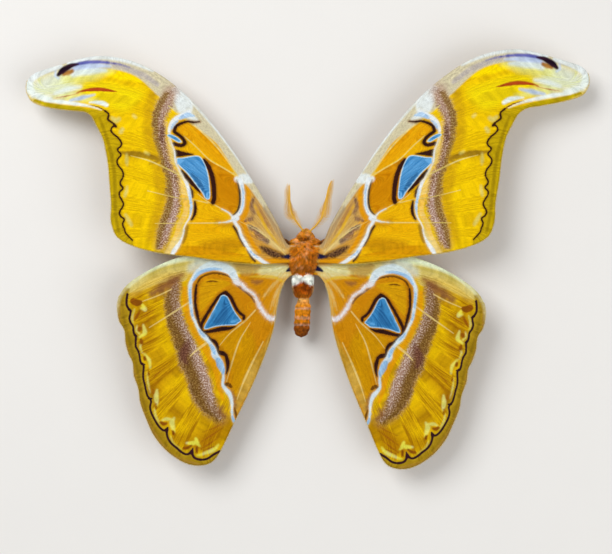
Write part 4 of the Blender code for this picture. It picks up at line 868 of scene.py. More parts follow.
def shader_group(name, inputs, outputs):
    """An empty shader node group with those sockets."""
    made = bpy.data.node_groups.new(name, "ShaderNodeTree")
    for title, kind in inputs:
        made.interface.new_socket(title, in_out="INPUT", socket_type=f"NodeSocket{kind}")
    for title, kind in outputs:
        made.interface.new_socket(title, in_out="OUTPUT", socket_type=f"NodeSocket{kind}")
    GROUPS[name] = made
    return made, made.nodes.new("NodeGroupInput").outputs, made.nodes.new("NodeGroupOutput").inputs


def node(tree, kind, links=None, **settings):
    """A node with settings and with inputs that are linked to sockets or set to values."""
    made = tree.nodes.new(kind)
    for key, value in settings.items():
        setattr(made, key, value)
    for key, value in (links or {}).items():
        if isinstance(value, bpy.types.NodeSocket):
            tree.links.new(value, made.inputs[key])
        else:
            made.inputs[key].default_value = value
    return made


def maths(tree, operation, a, b=0.0, c=0.0):
    """The output of a math node."""
    return node(tree, "ShaderNodeMath", {0: a, 1: b, 2: c}, operation=operation).outputs[0]


def mixed(tree, factor, a, b, blend="MIX"):
    """The output of a colour mix."""
    made = node(tree, "ShaderNodeMix", data_type="RGBA", blend_type=blend)
    for key, value in (("Factor", factor), ("A", a), ("B", b)):
        socket = next(s for s in made.inputs if s.name == key and s.enabled)
        if isinstance(value, bpy.types.NodeSocket):
            tree.links.new(value, socket)
        else:
            socket.default_value = value
    return next(s for s in made.outputs if s.enabled)


def between(tree, value, low, high, start=0.0, end=1.0, smooth=True):
    """A value mapped from one range to another."""
    made = node(tree, "ShaderNodeMapRange", {"Value": value, "From Min": low, "From Max": high,
                                             "To Min": start, "To Max": end},
                interpolation_type="SMOOTHSTEP" if smooth else "LINEAR")
    return made.outputs["Result"]


def grey(tree, value):
    """A colour with that value in all three parts."""
    return node(tree, "ShaderNodeCombineColor", {0: value, 1: value, 2: value}).outputs[0]


def attribute(tree, name, output="Fac"):
    """An attribute of the mesh."""
    return node(tree, "ShaderNodeAttribute", attribute_name=name).outputs[output]


def tint(code):
    """The linear colour of a hexadecimal one."""
    parts = [int(code[i:i + 2], 16) / 255 for i in (1, 3, 5)]
    return (*[p / 12.92 if p <= 0.04045 else ((p + 0.055) / 1.055) ** 2.4 for p in parts], 1.0)


tree, given, result = shader_group(
    "ink layer",
    [("Under", "Color"), ("First", "Color"), ("Second", "Color"), ("Choice", "Float"), ("Distance", "Float"),
     ("Grain", "Float"), ("Softness", "Float"), ("Ragged", "Float"), ("Strength", "Float")],
    [("Colour", "Color")])
reach = maths(tree, "MULTIPLY_ADD", given["Grain"], given["Ragged"], given["Distance"])
half = maths(tree, "MULTIPLY", given["Softness"], 0.5)
edge = between(tree, reach, maths(tree, "MULTIPLY", half, -1.0), half, 1.0, 0.0)
cover = maths(tree, "MULTIPLY", edge, given["Strength"])
ink = mixed(tree, given["Choice"], given["First"], given["Second"])
tree.links.new(mixed(tree, cover, given["Under"], ink), result["Colour"])

STREAKS = (13.0, 0.07)
FINE_STREAKS = (24.0, 0.5)
GRAIN_SCALE = 1.9
SINGLE_SCALE = 5.5


def lanes(tree, lane, reach, face, across, lengthwise):
    """A place that runs fast across the lanes and slowly along them, apart for each face."""
    place = {0: maths(tree, "MULTIPLY", lane, across), 1: maths(tree, "MULTIPLY", reach, lengthwise), 2: face}
    return node(tree, "ShaderNodeCombineXYZ", place).outputs[0]


def noise(tree, place, scale, detail):
    """The output of a noise texture."""
    made = node(tree, "ShaderNodeTexNoise", {"Vector": place, "Scale": scale, "Detail": detail})
    return made.outputs["Fac"]


tree, given, result = shader_group(
    "scale rows", [("Plan", "Vector"), ("Lane", "Float")],
    [("Streak", "Float"), ("Speckle", "Float"), ("Grain", "Float"), ("Tone", "Float"), ("Height", "Float")])
parts = node(tree, "ShaderNodeSeparateXYZ", {0: given["Plan"]}).outputs
flat = node(tree, "ShaderNodeCombineXYZ", {0: parts["X"], 1: parts["Y"], 2: 0.0}).outputs[0]
reach = node(tree, "ShaderNodeVectorMath", {0: flat}, operation="LENGTH").outputs["Value"]
streaks = noise(tree, lanes(tree, given["Lane"], reach, parts["Z"], *STREAKS), 1.0, 2.0)
fine = noise(tree, lanes(tree, given["Lane"], reach, parts["Z"], *FINE_STREAKS), 1.0, 1.0)
grains = noise(tree, given["Plan"], GRAIN_SCALE, 2.5)
scales = noise(tree, given["Plan"], SINGLE_SCALE, 0.0)
tree.links.new(between(tree, streaks, 0.36, 0.64), result["Streak"])
tree.links.new(between(tree, grains, 0.44, 0.64), result["Speckle"])
ragged = maths(tree, "MULTIPLY_ADD", fine, 0.5, maths(tree, "MULTIPLY", scales, 0.5))
tree.links.new(between(tree, ragged, 0.3, 0.7, -1.0, 1.0, False), result["Grain"])
tone = maths(tree, "MULTIPLY_ADD", fine, 0.5, maths(tree, "MULTIPLY_ADD", grains, 0.3, maths(
    tree, "MULTIPLY", scales, 0.2)))
tree.links.new(between(tree, tone, 0.38, 0.62, 0.80, 1.12, False), result["Tone"])
tree.links.new(maths(tree, "MULTIPLY_ADD", fine, 0.6, maths(tree, "MULTIPLY", scales, 0.4)), result["Height"])
print("shader groups:", sorted(GROUPS))

# %% [markdown]
# ## The wings' two finishes
# The two kinds of wing need a material each, because their layers differ. Each starts from a golden
# ground and lays one layer over another. The underside of this moth has the same pattern, paler and
# browner, so a mask for the lower face mixes that in. Scales are rough, with hardly any shine.

# %% Scale materials
GROUND = {"forewing": ("#DEA404", "#EAB608"), "hindwing": ("#C08404", "#D29A06")}
UNDERSIDE = "#C08C50"
UNDERSIDE_SHARE = 0.42
SCALE_ROUGHNESS = 0.75
BUMP_DEPTH = 0.00012


def ink_over(tree, under, rows, painted):
    """The colour after one more layer."""
    source = painted["marks"] if isinstance(painted["marks"], str) else painted["name"]
    distance = attribute(tree, source)
    if painted["grow"]:
        distance = maths(tree, "SUBTRACT", distance, painted["grow"])
    links = {"Under": under, "First": tint(painted["first"]), "Second": tint(painted["second"]),
             "Choice": rows.outputs[painted["choice"]], "Distance": distance, "Grain": rows.outputs["Grain"],
             "Softness": painted["softness"], "Ragged": painted["ragged"], "Strength": painted["strength"]}
    return node(tree, "ShaderNodeGroup", links, node_tree=GROUPS["ink layer"]).outputs["Colour"]


def scale_material(kind):
    """The material of one kind of wing."""
    made, shader, tree = new_material(f"{kind}_scales", SCALE_ROUGHNESS, Specular_IOR_Level=0.03)
    rows = node(tree, "ShaderNodeGroup", node_tree=GROUPS["scale rows"])
    tree.links.new(attribute(tree, "plan", "Vector"), rows.inputs["Plan"])
    tree.links.new(attribute(tree, "lane"), rows.inputs["Lane"])
    colour = mixed(tree, rows.outputs["Streak"], tint(GROUND[kind][0]), tint(GROUND[kind][1]))
    for painted in LAYERS[kind]:
        colour = ink_over(tree, colour, rows, painted)
    colour = mixed(tree, 1.0, colour, grey(tree, rows.outputs["Tone"]), "MULTIPLY")
    under = maths(tree, "MULTIPLY", attribute(tree, "lower"), UNDERSIDE_SHARE)
    tree.links.new(mixed(tree, under, colour, tint(UNDERSIDE)), shader.inputs["Base Color"])
    bump = node(tree, "ShaderNodeBump", {"Height": rows.outputs["Height"], "Strength": 0.35,
                                         "Distance": BUMP_DEPTH})
    tree.links.new(bump.outputs["Normal"], shader.inputs["Normal"])
    return made


SCALES = {kind: scale_material(kind) for kind in RIMS}
print("nodes in each wing material:", {kind: len(made.node_tree.nodes) for kind, made in SCALES.items()})

# %% [markdown]
# ## The four wings
# A plan becomes a wing by laying its points on the bent surface, once as the upper face and once as
# the lower one. The membrane is thinner than the solids' and stays inside them, and the veins stand
# out on both faces. Left wings use the mirrored plan with the small differences that the real moth
# shows.

# %% Dressed wings
RIM_SHARE, RIM_THINNING = 0.45, 0.5
LOWER_PLACE = 40.0
BAKE_MARGIN = 0.012
WALL_STRIP = 0.004


def add_attribute(mesh, name, values, kind="FLOAT"):
    """A per-vertex attribute."""
    field = "vector" if kind == "FLOAT_VECTOR" else "value"
    mesh.attributes.new(name, kind, "POINT").data.foreach_set(field, np.asarray(values, np.float32).ravel())


def dress_wing(name):
    """A finished wing in the place of the solid of that name."""
    kind, side = name.split("_")
    plan = PLANS[kind]
    count = len(plan["xy"])
    x, y = set_wing(name, plan["xy"][:, 0], plan["xy"][:, 1])
    middle = wing_surface(x, y) + LIFT[kind] + plan["sag"]
    half = MEMBRANE / 2 * (RIM_SHARE + (1 - RIM_SHARE) * ease(plan["edge"] / RIM_THINNING)) + plan["ridge"]
    points = np.concatenate([np.column_stack([x, y, middle + half]), np.column_stack([x, y, middle - half])])
    upper = [f if side == "right" else f[::-1] for f in plan["faces"]]
    lower = [[i + count for i in f[::-1]] for f in upper]
    edges = {(a, b) for f in upper for a, b in zip(f, f[1:] + f[:1])}
    rim = [(a, b) for a, b in edges if (b, a) not in edges]
    walls = [[b, a, a + count, b + count] for a, b in sorted(rim)]
    made = grid_mesh(f"{name}_dressed", points, upper + lower + walls, SCALES[kind])
    mesh = made.data
    low, high = plan["xy"].min(0), plan["xy"].max(0)
    u = BAKE_MARGIN + (plan["xy"][:, 1] - low[1]) / (high[1] - low[1]) * (0.5 - 2 * BAKE_MARGIN)
    v = BAKE_MARGIN + (plan["xy"][:, 0] - low[0]) / (high[0] - low[0]) * (1 - 2 * BAKE_MARGIN)
    flat = np.concatenate([np.column_stack([u, v]), np.column_stack([u + 0.5, v])])
    corner = corners_of(mesh)
    bake = flat[corner]
    first_wall = 3 * (len(upper) + len(lower))
    wall_corners = corner[first_wall:]
    push = np.zeros((count, 2))
    for a, b in rim:
        turn = np.array([u[b] - u[a], v[b] - v[a]])
        turn = np.array([turn[1], -turn[0]]) / max(np.hypot(*turn), 1e-9)
        push[a] += turn
        push[b] += turn
    push /= np.maximum(np.linalg.norm(push, axis=1), 1e-9)[:, None]
    middle_uv = np.array([u.mean(), v.mean()])
    outline = np.array(sorted({a for edge in rim for a in edge}))
    if ((np.column_stack([u, v])[outline] - middle_uv) * push[outline]).sum() < 0:
        push = -push
    below = wall_corners >= count
    bake[first_wall:] = np.where(below[:, None], np.column_stack([u, v])[wall_corners % count]
                                 + push[wall_corners % count] * WALL_STRIP, bake[first_wall:])
    set_map(mesh, bake)
    lower_face = np.repeat([0.0, 1.0], count)
    places = np.column_stack([np.tile(plan["xy"], (2, 1)), lower_face * LOWER_PLACE])
    add_attribute(mesh, "plan", places, "FLOAT_VECTOR")
    add_attribute(mesh, "lane", np.tile(plan["lane"], 2))
    add_attribute(mesh, "lower", lower_face)
    for title, values in plan["inks"].items():
        add_attribute(mesh, title, np.tile(values, 2))
    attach(made, "root")
    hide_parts(name)
    return made


WINGS = {name: dress_wing(name) for name in WING_SET}
print("wing faces:", {name: len(made.data.polygons) for name, made in WINGS.items()})

# %% [markdown]
# ## The body under its fur
# Head, thorax and abdomen of the moth run into one another under the hair, so one skin replaces
# their solids. It is a loft of the same cross-sections, drawn in by the depth of the coat at each
# place, because the solids reach to the tips of the fur.

# %% One skin from head to tail
HEAD_RINGS = [(7.3, 0.3, 3.1, 9.5, 2.9), (8.2, 0.35, 2.85, 9.4, 2.9), (9.3, 0.4, 2.1, 9.3, 2.6),
    (10.2, 0.45, 1.45, 9.2, 2), (10.8, 0.5, 0.95, 9.2, 1.3), (11.1, 0.5, 0.45, 9.2, 0.6)]
THORAX_RINGS = [(6.6, 0.2, 4.3, 10, 4.1), (5.7, 0.1, 5.5, 10.4, 5), (4.3, 0, 6, 10.7, 5.5),
    (2.2, -0.2, 5.8, 10.9, 5.8), (-0.5, -0.5, 5.1, 10.9, 5.8), (-3, -0.7, 4.4, 10.6, 5.3),
    (-4.9, -0.75, 3.95, 10.2, 4.7)]
COLLAR_RINGS = [(-7, -0.8, 4.1, 9.9, 4.5), (-8.8, -0.75, 4, 9.7, 4.2), (-10.6, -0.7, 4.05, 9.5, 4.1),
    (-12.2, -0.7, 3.7, 9.2, 3.8), (-13.4, -0.7, 2.9, 9, 3), (-13.9, -0.65, 2.1, 8.9, 2.2)]
ABDOMEN_START, ABDOMEN_END, ABDOMEN_SEGMENTS = -14.2, -28.9, 7
ABDOMEN_HALF_WIDTH = 3.0
ABDOMEN_HEIGHT = (8.9, 6.9)
ABDOMEN_LEAN = (-0.45, -1.3)
ABDOMEN_FLATTENING = 1.04
SEGMENT_PINCH = 0.05
COAT_DEPTH = [(11.1, 0.25), (9, 0.45), (7, 0.6), (5, 0.9), (-4, 0.9), (-8, 0.85), (-12.5, 0.8),
    (-13.9, 0.45), (-15, 0.35), (-28.9, 0.3)]
WAIST_SHARE, WAIST_LENGTH = 0.68, 0.3
CLOSE_FROM, CLOSE_OVER, CLOSE_POWER = 0.72, 0.285, 2.6
LEAST_SHARE = 0.35
LEAST_RADIUS = 0.12
SKIN_SIDES = 64
SKIN_STEP = 0.3
TIP_REACH = 0.08
SKIN_SHADE = 0.4


def abdomen_ring(k):
    """The solid's cross-section number k of the abdomen."""
    t = k / (3 * ABDOMEN_SEGMENTS)
    taper = WAIST_SHARE + (1 - WAIST_SHARE) * ease(t / WAIST_LENGTH)
    close = math.sqrt(max(0.0, 1 - max(0.0, (t - CLOSE_FROM) / CLOSE_OVER) ** CLOSE_POWER))
    pinch = 1 - SEGMENT_PINCH * (k % 3 == 0) * (0 < k < 3 * ABDOMEN_SEGMENTS)
    half = ABDOMEN_HALF_WIDTH * taper * close * pinch
    lean = ABDOMEN_LEAN[0] + (ABDOMEN_LEAN[1] - ABDOMEN_LEAN[0]) * t
    height = ABDOMEN_HEIGHT[0] + (ABDOMEN_HEIGHT[1] - ABDOMEN_HEIGHT[0]) * t * t
    return ABDOMEN_START + (ABDOMEN_END - ABDOMEN_START) * t, lean, half, height, half * ABDOMEN_FLATTENING


rings = HEAD_RINGS[::-1] + THORAX_RINGS + COLLAR_RINGS
rings += [abdomen_ring(k) for k in range(3 * ABDOMEN_SEGMENTS + 1)]
drawn = np.array(rings, float)
depth_at, depth_of = np.array(COAT_DEPTH[::-1]).T
for radius in (2, 4):
    inside_coat = drawn[:, radius] - np.interp(drawn[:, 0], depth_at, depth_of)
    drawn[:, radius] = np.maximum(inside_coat, LEAST_SHARE * drawn[:, radius])
SPINE = smooth_line(drawn, SKIN_STEP)
SPINE[:, [2, 4]] = np.maximum(SPINE[:, [2, 4]], LEAST_RADIUS)
SPINE = SPINE[np.concatenate([[True], np.diff(SPINE[:, 0]) < -1e-3])]


def spine_at(y):
    """Centre x, half width, centre height and half height of the skin at a distance along the body."""
    return [np.interp(-y, -SPINE[:, 0], SPINE[:, i]) for i in (1, 2, 3, 4)]


def skin_point(y, angle):
    """A point of the skin. The angle is 0 on the back and grows towards the moth's right."""
    x, half, z, tall = spine_at(y)
    return np.stack([x + half * np.sin(angle), y, z + tall * np.cos(angle)], axis=-1)


def bake_place(y, angle):
    """Where a point of the skin lies on its unwrapped map."""
    return np.stack([0.01 + 0.98 * (angle / (2 * math.pi) + 0.5),
                     0.01 + 0.98 * (y - SPINE[-1, 0]) / (SPINE[0, 0] - SPINE[-1, 0])], axis=-1)


def one_shade(mesh, shade):
    """Gives a surface without tufts the attributes that tufts have."""
    # Along is zero, so such a surface takes the painted shade of a tuft's root.
    add_attribute(mesh, "along", np.zeros(len(mesh.vertices)))
    add_attribute(mesh, "shade", np.full(len(mesh.vertices), shade))


def body_skin():
    """The skin as a closed loft with its map."""
    angles = (np.arange(SKIN_SIDES) / SKIN_SIDES * 2 - 1) * math.pi
    points = np.concatenate([skin_point(np.full(SKIN_SIDES, row[0]), angles) for row in SPINE])
    tips = [(SPINE[0, 1], SPINE[0, 0] + TIP_REACH, SPINE[0, 3]),
            (SPINE[-1, 1], SPINE[-1, 0] - TIP_REACH, SPINE[-1, 3])]
    points = np.concatenate([points, tips])
    n, rows = SKIN_SIDES, len(SPINE)
    faces, maps = [], []
    wrapped = np.concatenate([angles, [math.pi]])
    for r in range(rows - 1):
        for i in range(n):
            j = (i + 1) % n
            faces.append((r * n + n + i, r * n + n + j, r * n + j, r * n + i))
            maps += [(SPINE[r + 1, 0], wrapped[i]), (SPINE[r + 1, 0], wrapped[i + 1]),
                     (SPINE[r, 0], wrapped[i + 1]), (SPINE[r, 0], wrapped[i])]
    for r, tip, turn in ((0, len(points) - 2, 1), (rows - 1, len(points) - 1, -1)):
        for i in range(n):
            j = (i + 1) % n
            a = (r * n + j, wrapped[i + 1]), (r * n + i, wrapped[i])
            a = a[::-1] if turn == 1 else a
            faces.append((a[0][0], a[1][0], tip))
            maps += [(SPINE[r, 0], a[0][1]), (SPINE[r, 0], a[1][1]),
                     (SPINE[r, 0] + 0.05 * turn, (a[0][1] + a[1][1]) / 2)]
    made = grid_mesh("body_skin", points, faces)
    places = np.array(maps)
    uv = np.clip(bake_place(places[:, 0], places[:, 1]), 0.002, 0.998)
    set_map(made.data, uv)
    one_shade(made.data, SKIN_SHADE)
    return made


skin = body_skin()
area = sum(f.area for f in skin.data.polygons)
print("skin faces:", len(skin.data.polygons), "area in mm2:", round(area / MM**2))

# %% [markdown]
# ## Colours of the body
# The thorax is rust orange, a white tuft like a collar crosses the back, and a rust lobe with dark
# streaks follows it. The abdomen is golden with pale rings and a dark end. The colour comes from the
# place of a hair's root, so the skin and the coat share one pattern. A small dark spot of painted
# shadow lies in the crease between head and thorax.

# %% Fur material
BODY_COLOURS = [(12, "#ECA838"), (8.4, "#E89C28"), (7.2, "#D07E18"), (6.4, "#E4941C"), (3, "#E08C18"),
    (0, "#D98418"), (-2.6, "#B86A14"), (-5.2, "#C4741C"), (-8, "#AE540A"), (-11, "#BA5C08"),
    (-13.4, "#D08018"), (-14.4, "#F0C070"), (-17, "#E89C1E"), (-22.8, "#DA8A12"), (-24.8, "#9C5412"),
    (-29.2, "#82460E")]
RING_BANDS = ((-17.9, 0.6), (-21.4, 0.5), (-24.0, 0.5))
COLLAR_FRONT, COLLAR_NOTCH, COLLAR_REAR, COLLAR_DOME = -4.7, 0.8, -9.0, 1.9
COLLAR_CENTRE, COLLAR_BOW = -0.75, 0.036
NOTCH_WIDTH, DOME_WIDTH = 0.6, 1.5
THORAX_PALE, THORAX_DARK = "#F2C08C", "#9C4C12"
LOBE_PALE, LOBE_DARK = "#E2C890", "#5E260A"
# The middle colour of the next row is a painted shadow in the crease between head and thorax.
RING_PALE, NECK_SHADOW_COLOUR, COLLAR_WHITE = "#E8C8B4", "#3A1C10", "#F8FCF6"
STREAK_STRETCH = (2.2, 0.12, 1.2)
# Place, size and least height of that painted shadow; it is painted on the upper side only.
NECK_SHADOW_PLACE, NECK_SHADOW_SIZE, NECK_SHADOW_ABOVE = (0.5, 7.05), (0.9, 0.22), 9


def white_collar(points):
    """How far a point is inside the two-lobed white tuft, in millimetres."""
    x, y = points[:, 0] - COLLAR_CENTRE, points[:, 1]
    front = COLLAR_FRONT - COLLAR_NOTCH * np.exp(-(x / NOTCH_WIDTH) ** 2) - COLLAR_BOW * x**2
    rear = COLLAR_REAR + COLLAR_DOME * np.exp(-(x / DOME_WIDTH) ** 2)
    return np.minimum(front - y, y - rear)


def fur_material(name, stops, roughness=0.72):
    """Fur whose colour follows the place of its roots along the body."""
    made, shader, tree = new_material(name, roughness, Specular_IOR_Level=0.06, Sheen_Weight=0.02,
                                      Sheen_Roughness=0.45)
    root = attribute(tree, "root", "Vector")
    ragged = noise(tree, root, 1.4, 2.0)
    parts = node(tree, "ShaderNodeSeparateXYZ", {0: root}).outputs
    wave = maths(tree, "MULTIPLY_ADD", ragged, 1.2, maths(tree, "ADD", parts["Y"], -0.6))
    place = between(tree, wave, stops[-1][0], stops[0][0], smooth=False)
    ramp = node(tree, "ShaderNodeValToRGB", {"Fac": place})
    span = stops[0][0] - stops[-1][0]
    elements = ramp.color_ramp.elements
    elements[0].position, elements[0].color = 0.0, tint(stops[-1][1])
    elements[1].position, elements[1].color = 1.0, tint(stops[0][1])
    for y, colour in stops[1:-1]:
        element = elements.new((y - stops[-1][0]) / span)
        element.color = tint(colour)
    colour = ramp.outputs["Color"]
    mottle = noise(tree, root, 0.6, 3.0)
    thorax = between(tree, parts["Y"], -4.0, -1.0)
    pale = maths(tree, "MULTIPLY", between(tree, mottle, 0.52, 0.66, 0.0, 0.6), thorax)
    dark = maths(tree, "MULTIPLY", between(tree, mottle, 0.38, 0.48, 0.55, 0.0), thorax)
    colour = mixed(tree, pale, colour, tint(THORAX_PALE))
    colour = mixed(tree, dark, colour, tint(THORAX_DARK))
    lobe = maths(tree, "MULTIPLY", between(tree, parts["Y"], -8.2, -7.0, 1.0, 0.0),
                 between(tree, parts["Y"], -14.2, -13.2))
    stretched = node(tree, "ShaderNodeVectorMath", {0: root, 1: STREAK_STRETCH}, operation="MULTIPLY")
    streak = between(tree, noise(tree, stretched.outputs[0], 1.0, 1.0), 0.5, 0.62, 0.0, 0.8)
    colour = mixed(tree, maths(tree, "MULTIPLY", lobe, streak), colour, tint(LOBE_DARK))
    side = maths(tree, "MULTIPLY", lobe, between(tree, maths(tree, "ABSOLUTE", maths(
        tree, "ADD", parts["X"], 0.7)), 2.5, 3.4, 0.0, 0.75))
    colour = mixed(tree, side, colour, tint(LOBE_PALE))
    for y, strength in RING_BANDS:
        off = maths(tree, "ABSOLUTE", maths(tree, "ADD", wave, -y))
        colour = mixed(tree, between(tree, off, 0.1, 0.6, strength, 0.0), colour, tint(RING_PALE))
    # Painted shadow: a dark spot in the crease between head and thorax, seen from above.
    colour = mixed(tree, between(tree, attribute(tree, "neck_shadow"), 0.3, 0.7, 0.0, 0.7), colour, tint(NECK_SHADOW_COLOUR))
    collar = maths(tree, "MULTIPLY_ADD", ragged, 0.6, maths(
        tree, "ADD", attribute(tree, "collar"), -0.3))
    colour = mixed(tree, between(tree, collar, -0.25, 0.25), colour, tint(COLLAR_WHITE))
    clump = between(tree, noise(tree, root, 1.1, 3.0), 0.36, 0.64, 0.52, 1.6, False)
    # Tufts are darker at the root and lighter towards the tip: painted shade deep in the coat. Shade and
    # clumps vary at random.
    value = maths(tree, "MULTIPLY_ADD", attribute(tree, "shade"), 0.6, maths(
        tree, "MULTIPLY_ADD", attribute(tree, "along"), 0.4, 0.62))
    value = maths(tree, "MULTIPLY", value, clump)
    tree.links.new(mixed(tree, 1.0, colour, grey(tree, value), "MULTIPLY"), shader.inputs["Base Color"])
    return made


def mark_roots(mesh, points):
    """Attributes that say where on the body each vertex's hair is rooted and how much painted shadow of the
    neck crease it takes.
    """
    add_attribute(mesh, "root", points, "FLOAT_VECTOR")
    add_attribute(mesh, "collar", white_collar(points))
    # How deep a point lies in the painted shadow between head and thorax, on the upper side only.
    off = (points[:, :2] - NECK_SHADOW_PLACE) / NECK_SHADOW_SIZE
    add_attribute(mesh, "neck_shadow", np.exp(-off[:, 1] ** 2 - off[:, 0] ** 4) * (points[:, 2] > NECK_SHADOW_ABOVE))


FUR = fur_material("body_fur", BODY_COLOURS)
skin.data.materials.append(FUR)
mark_roots(skin.data, np.array([v.co for v in skin.data.vertices]) / MM)
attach(skin, "root")
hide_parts("head", "thorax", "abdomen_base", "abdomen")
print("body colour stops:", len(BODY_COLOURS))

# %% [markdown]
# ## The coat
# A real coat has far more hairs than a scene can hold, so this one is made of some fifty thousand
# fine tapering tufts that overlap and lie along the body. Each has its own length, lean and shade.
# They start on the skin and end where the solids end. Some coats cover only the flanks, where the
# hair spreads wider. Solid tufts are used in place of particles because they export as they are.

# %% Tufts of fur
TUFT_PATCH = 0.003
TUFT_RINGS = ((0.0, 0.75), (0.38, 1.0), (0.74, 0.66))
TUFT_TURNS = (0.0, 2.094, 4.189)
TUFT_POINTS = len(TUFT_RINGS) * len(TUFT_TURNS) + 1
TUFT_THICKNESS = 0.3
RISE_PACE = 1.25
ROOT_SPREAD = 0.12
LEAN_SPREAD = 0.26
EVEN_STEPS = (0.7548776662, 0.5698402910)
COAT_BEND = 0.35
SHED_BEND = 0.4
COATS = [
    ("head_coat", 7.2, 11.0, 5200, 0.95, 0.13, (0.9, 0.4), (0, 180), 1.3),
    ("brow_coat", 7.3, 10.0, 1800, 1.5, 0.13, (0.55, 1.0), (35, 88), 1.7),
    ("thorax_coat", -4.9, 7.4, 11500, 1.6, 0.16, (-1.0, 0.2), (0, 180), 1.0),
    ("neck_coat", 5.8, 8.2, 2200, 1.7, 0.14, (-0.1, 1.0), (30, 95), 1.7),
    ("shoulder_coat", -4.4, 5.2, 5200, 2.3, 0.15, (-0.8, 1.0), (38, 92), 1.9),
    ("collar_coat", -9.6, -4.3, 8500, 1.7, 0.15, (-1.0, 0.1), (0, 180), 1.1),
    ("lobe_coat", -13.8, -8.6, 6600, 1.5, 0.14, (-1.0, 0.1), (0, 180), 1.0),
    ("abdomen_coat", -28.8, -13.6, 11500, 0.95, 0.13, (-1.0, 0.1), (0, 180), 0.9),
]
SHEDS = {"brow_coat", "neck_coat", "shoulder_coat"}
FLANK_BLEND = math.pi / 2


def blades(name, roots, leans, normals, lengths, widths, rises, curve, maps, finish, seed):
    """Tapering tufts as one mesh. Each starts at a root, leans one way and rises off the surface."""
    rng = np.random.default_rng(seed)
    count = len(roots)
    sides = unit(np.cross(normals, leans))
    points, along = [], []
    for s, w in TUFT_RINGS:
        lift = rises * math.sin(math.pi / 2 * min(1.0, RISE_PACE * s)) - curve * (lengths * s) ** 2 / 2
        middle = roots + leans * (lengths * s)[:, None] + normals * lift[:, None]
        for turn in TUFT_TURNS:
            points.append(middle + sides * (widths * w / 2 * math.cos(turn))[:, None]
                          + normals * (widths * w * TUFT_THICKNESS * math.sin(turn))[:, None])
            along.append(np.full(count, s))
    lift = rises - curve * lengths**2 / 2
    points.append(roots + leans * lengths[:, None] + normals * lift[:, None])
    along.append(np.ones(count))
    points = np.stack(points, axis=1).reshape(-1, 3)
    along = np.stack(along, axis=1).ravel()
    shape = [(2, 1, 0)]
    for ring in (0, 3):
        shape += [(ring + i, ring + (i + 1) % 3, ring + 3 + (i + 1) % 3, ring + 3 + i) for i in range(3)]
    shape += [(6 + i, 6 + (i + 1) % 3, 9) for i in range(3)]
    faces = [tuple(TUFT_POINTS * k + i for i in face) for k in range(count) for face in shape]
    made = grid_mesh(name, points, faces, finish)
    mesh = made.data
    corner = corners_of(mesh)
    across = np.array([0, 0.5, 1] * len(TUFT_RINGS) + [0.5])[corner % TUFT_POINTS]
    local = np.column_stack([across, along[corner]]) - 0.5
    set_map(mesh, np.clip(maps[corner // TUFT_POINTS] + local * TUFT_PATCH, 0.001, 0.999))
    mark_roots(mesh, np.repeat(roots + rng.normal(0, ROOT_SPREAD, roots.shape), TUFT_POINTS, axis=0))
    add_attribute(mesh, "along", along)
    add_attribute(mesh, "shade", np.repeat(rng.random(count), TUFT_POINTS))
    return made


def coat(name, start, end, count, length, width, flow, angles, lift, seed):
    """Fur on the skin between two distances along the body and two angles from the back."""
    rng = np.random.default_rng(seed)
    i = np.arange(count)
    y_grid = np.linspace(start, end, 200)
    _, half, _, tall = spine_at(y_grid)
    share = np.cumsum(half + tall)
    y = np.interp((i * EVEN_STEPS[0]) % 1, share / share[-1], y_grid)
    turn = (i * EVEN_STEPS[1]) % 1 * 2 - 1
    low, high = np.radians(angles)
    angle = np.sign(turn) * (low + (high - low) * np.abs(turn))
    centre, half, height, tall = spine_at(y)
    root = skin_point(y, angle)
    tail = unit(skin_point(y - 0.05, angle) - root)
    around = unit(skin_point(y, angle + 0.01) - root)
    normal = unit(np.cross(around, tail))
    normal *= np.sign((normal * (root - np.column_stack([centre, y, height]))).sum(1))[:, None]
    sideways = np.sin(np.minimum(np.abs(angle) * 2, FLANK_BLEND))
    outward = around * (np.sign(angle) * sideways)[:, None]
    lean = unit(-flow[0] * tail + flow[1] * outward)
    across = np.cross(normal, lean)
    spread = rng.normal(0, LEAN_SPREAD, count)
    lean = lean * np.cos(spread)[:, None] + across * np.sin(spread)[:, None]
    depth = np.interp(y, depth_at, depth_of)
    size = length * rng.uniform(0.6, 1.2, count)
    rises = depth * lift * rng.uniform(0.35, 1.15, count)
    bend = COAT_BEND / np.maximum(np.minimum(half, tall), 0.8) * (SHED_BEND if name in SHEDS else 1.0)
    made = blades(name, root, lean, normal, size, width * rng.uniform(0.8, 1.25, count), rises, bend,
                  bake_place(y, angle), FUR, seed + 1)
    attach(made, "root")
    return made


for number, row in enumerate(COATS):
    coat(*row, 100 + number)
print("tufts:", {row[0]: row[3] for row in COATS})

# %% [markdown]
# ## Sprouts
# The feelers' rays, the hair on the legs and the fringe of the wings are all the same thing: a thin
# tapering shoot on each of many points. One Geometry Nodes tree makes them. A point says which way
# its shoot grows and how long it is.

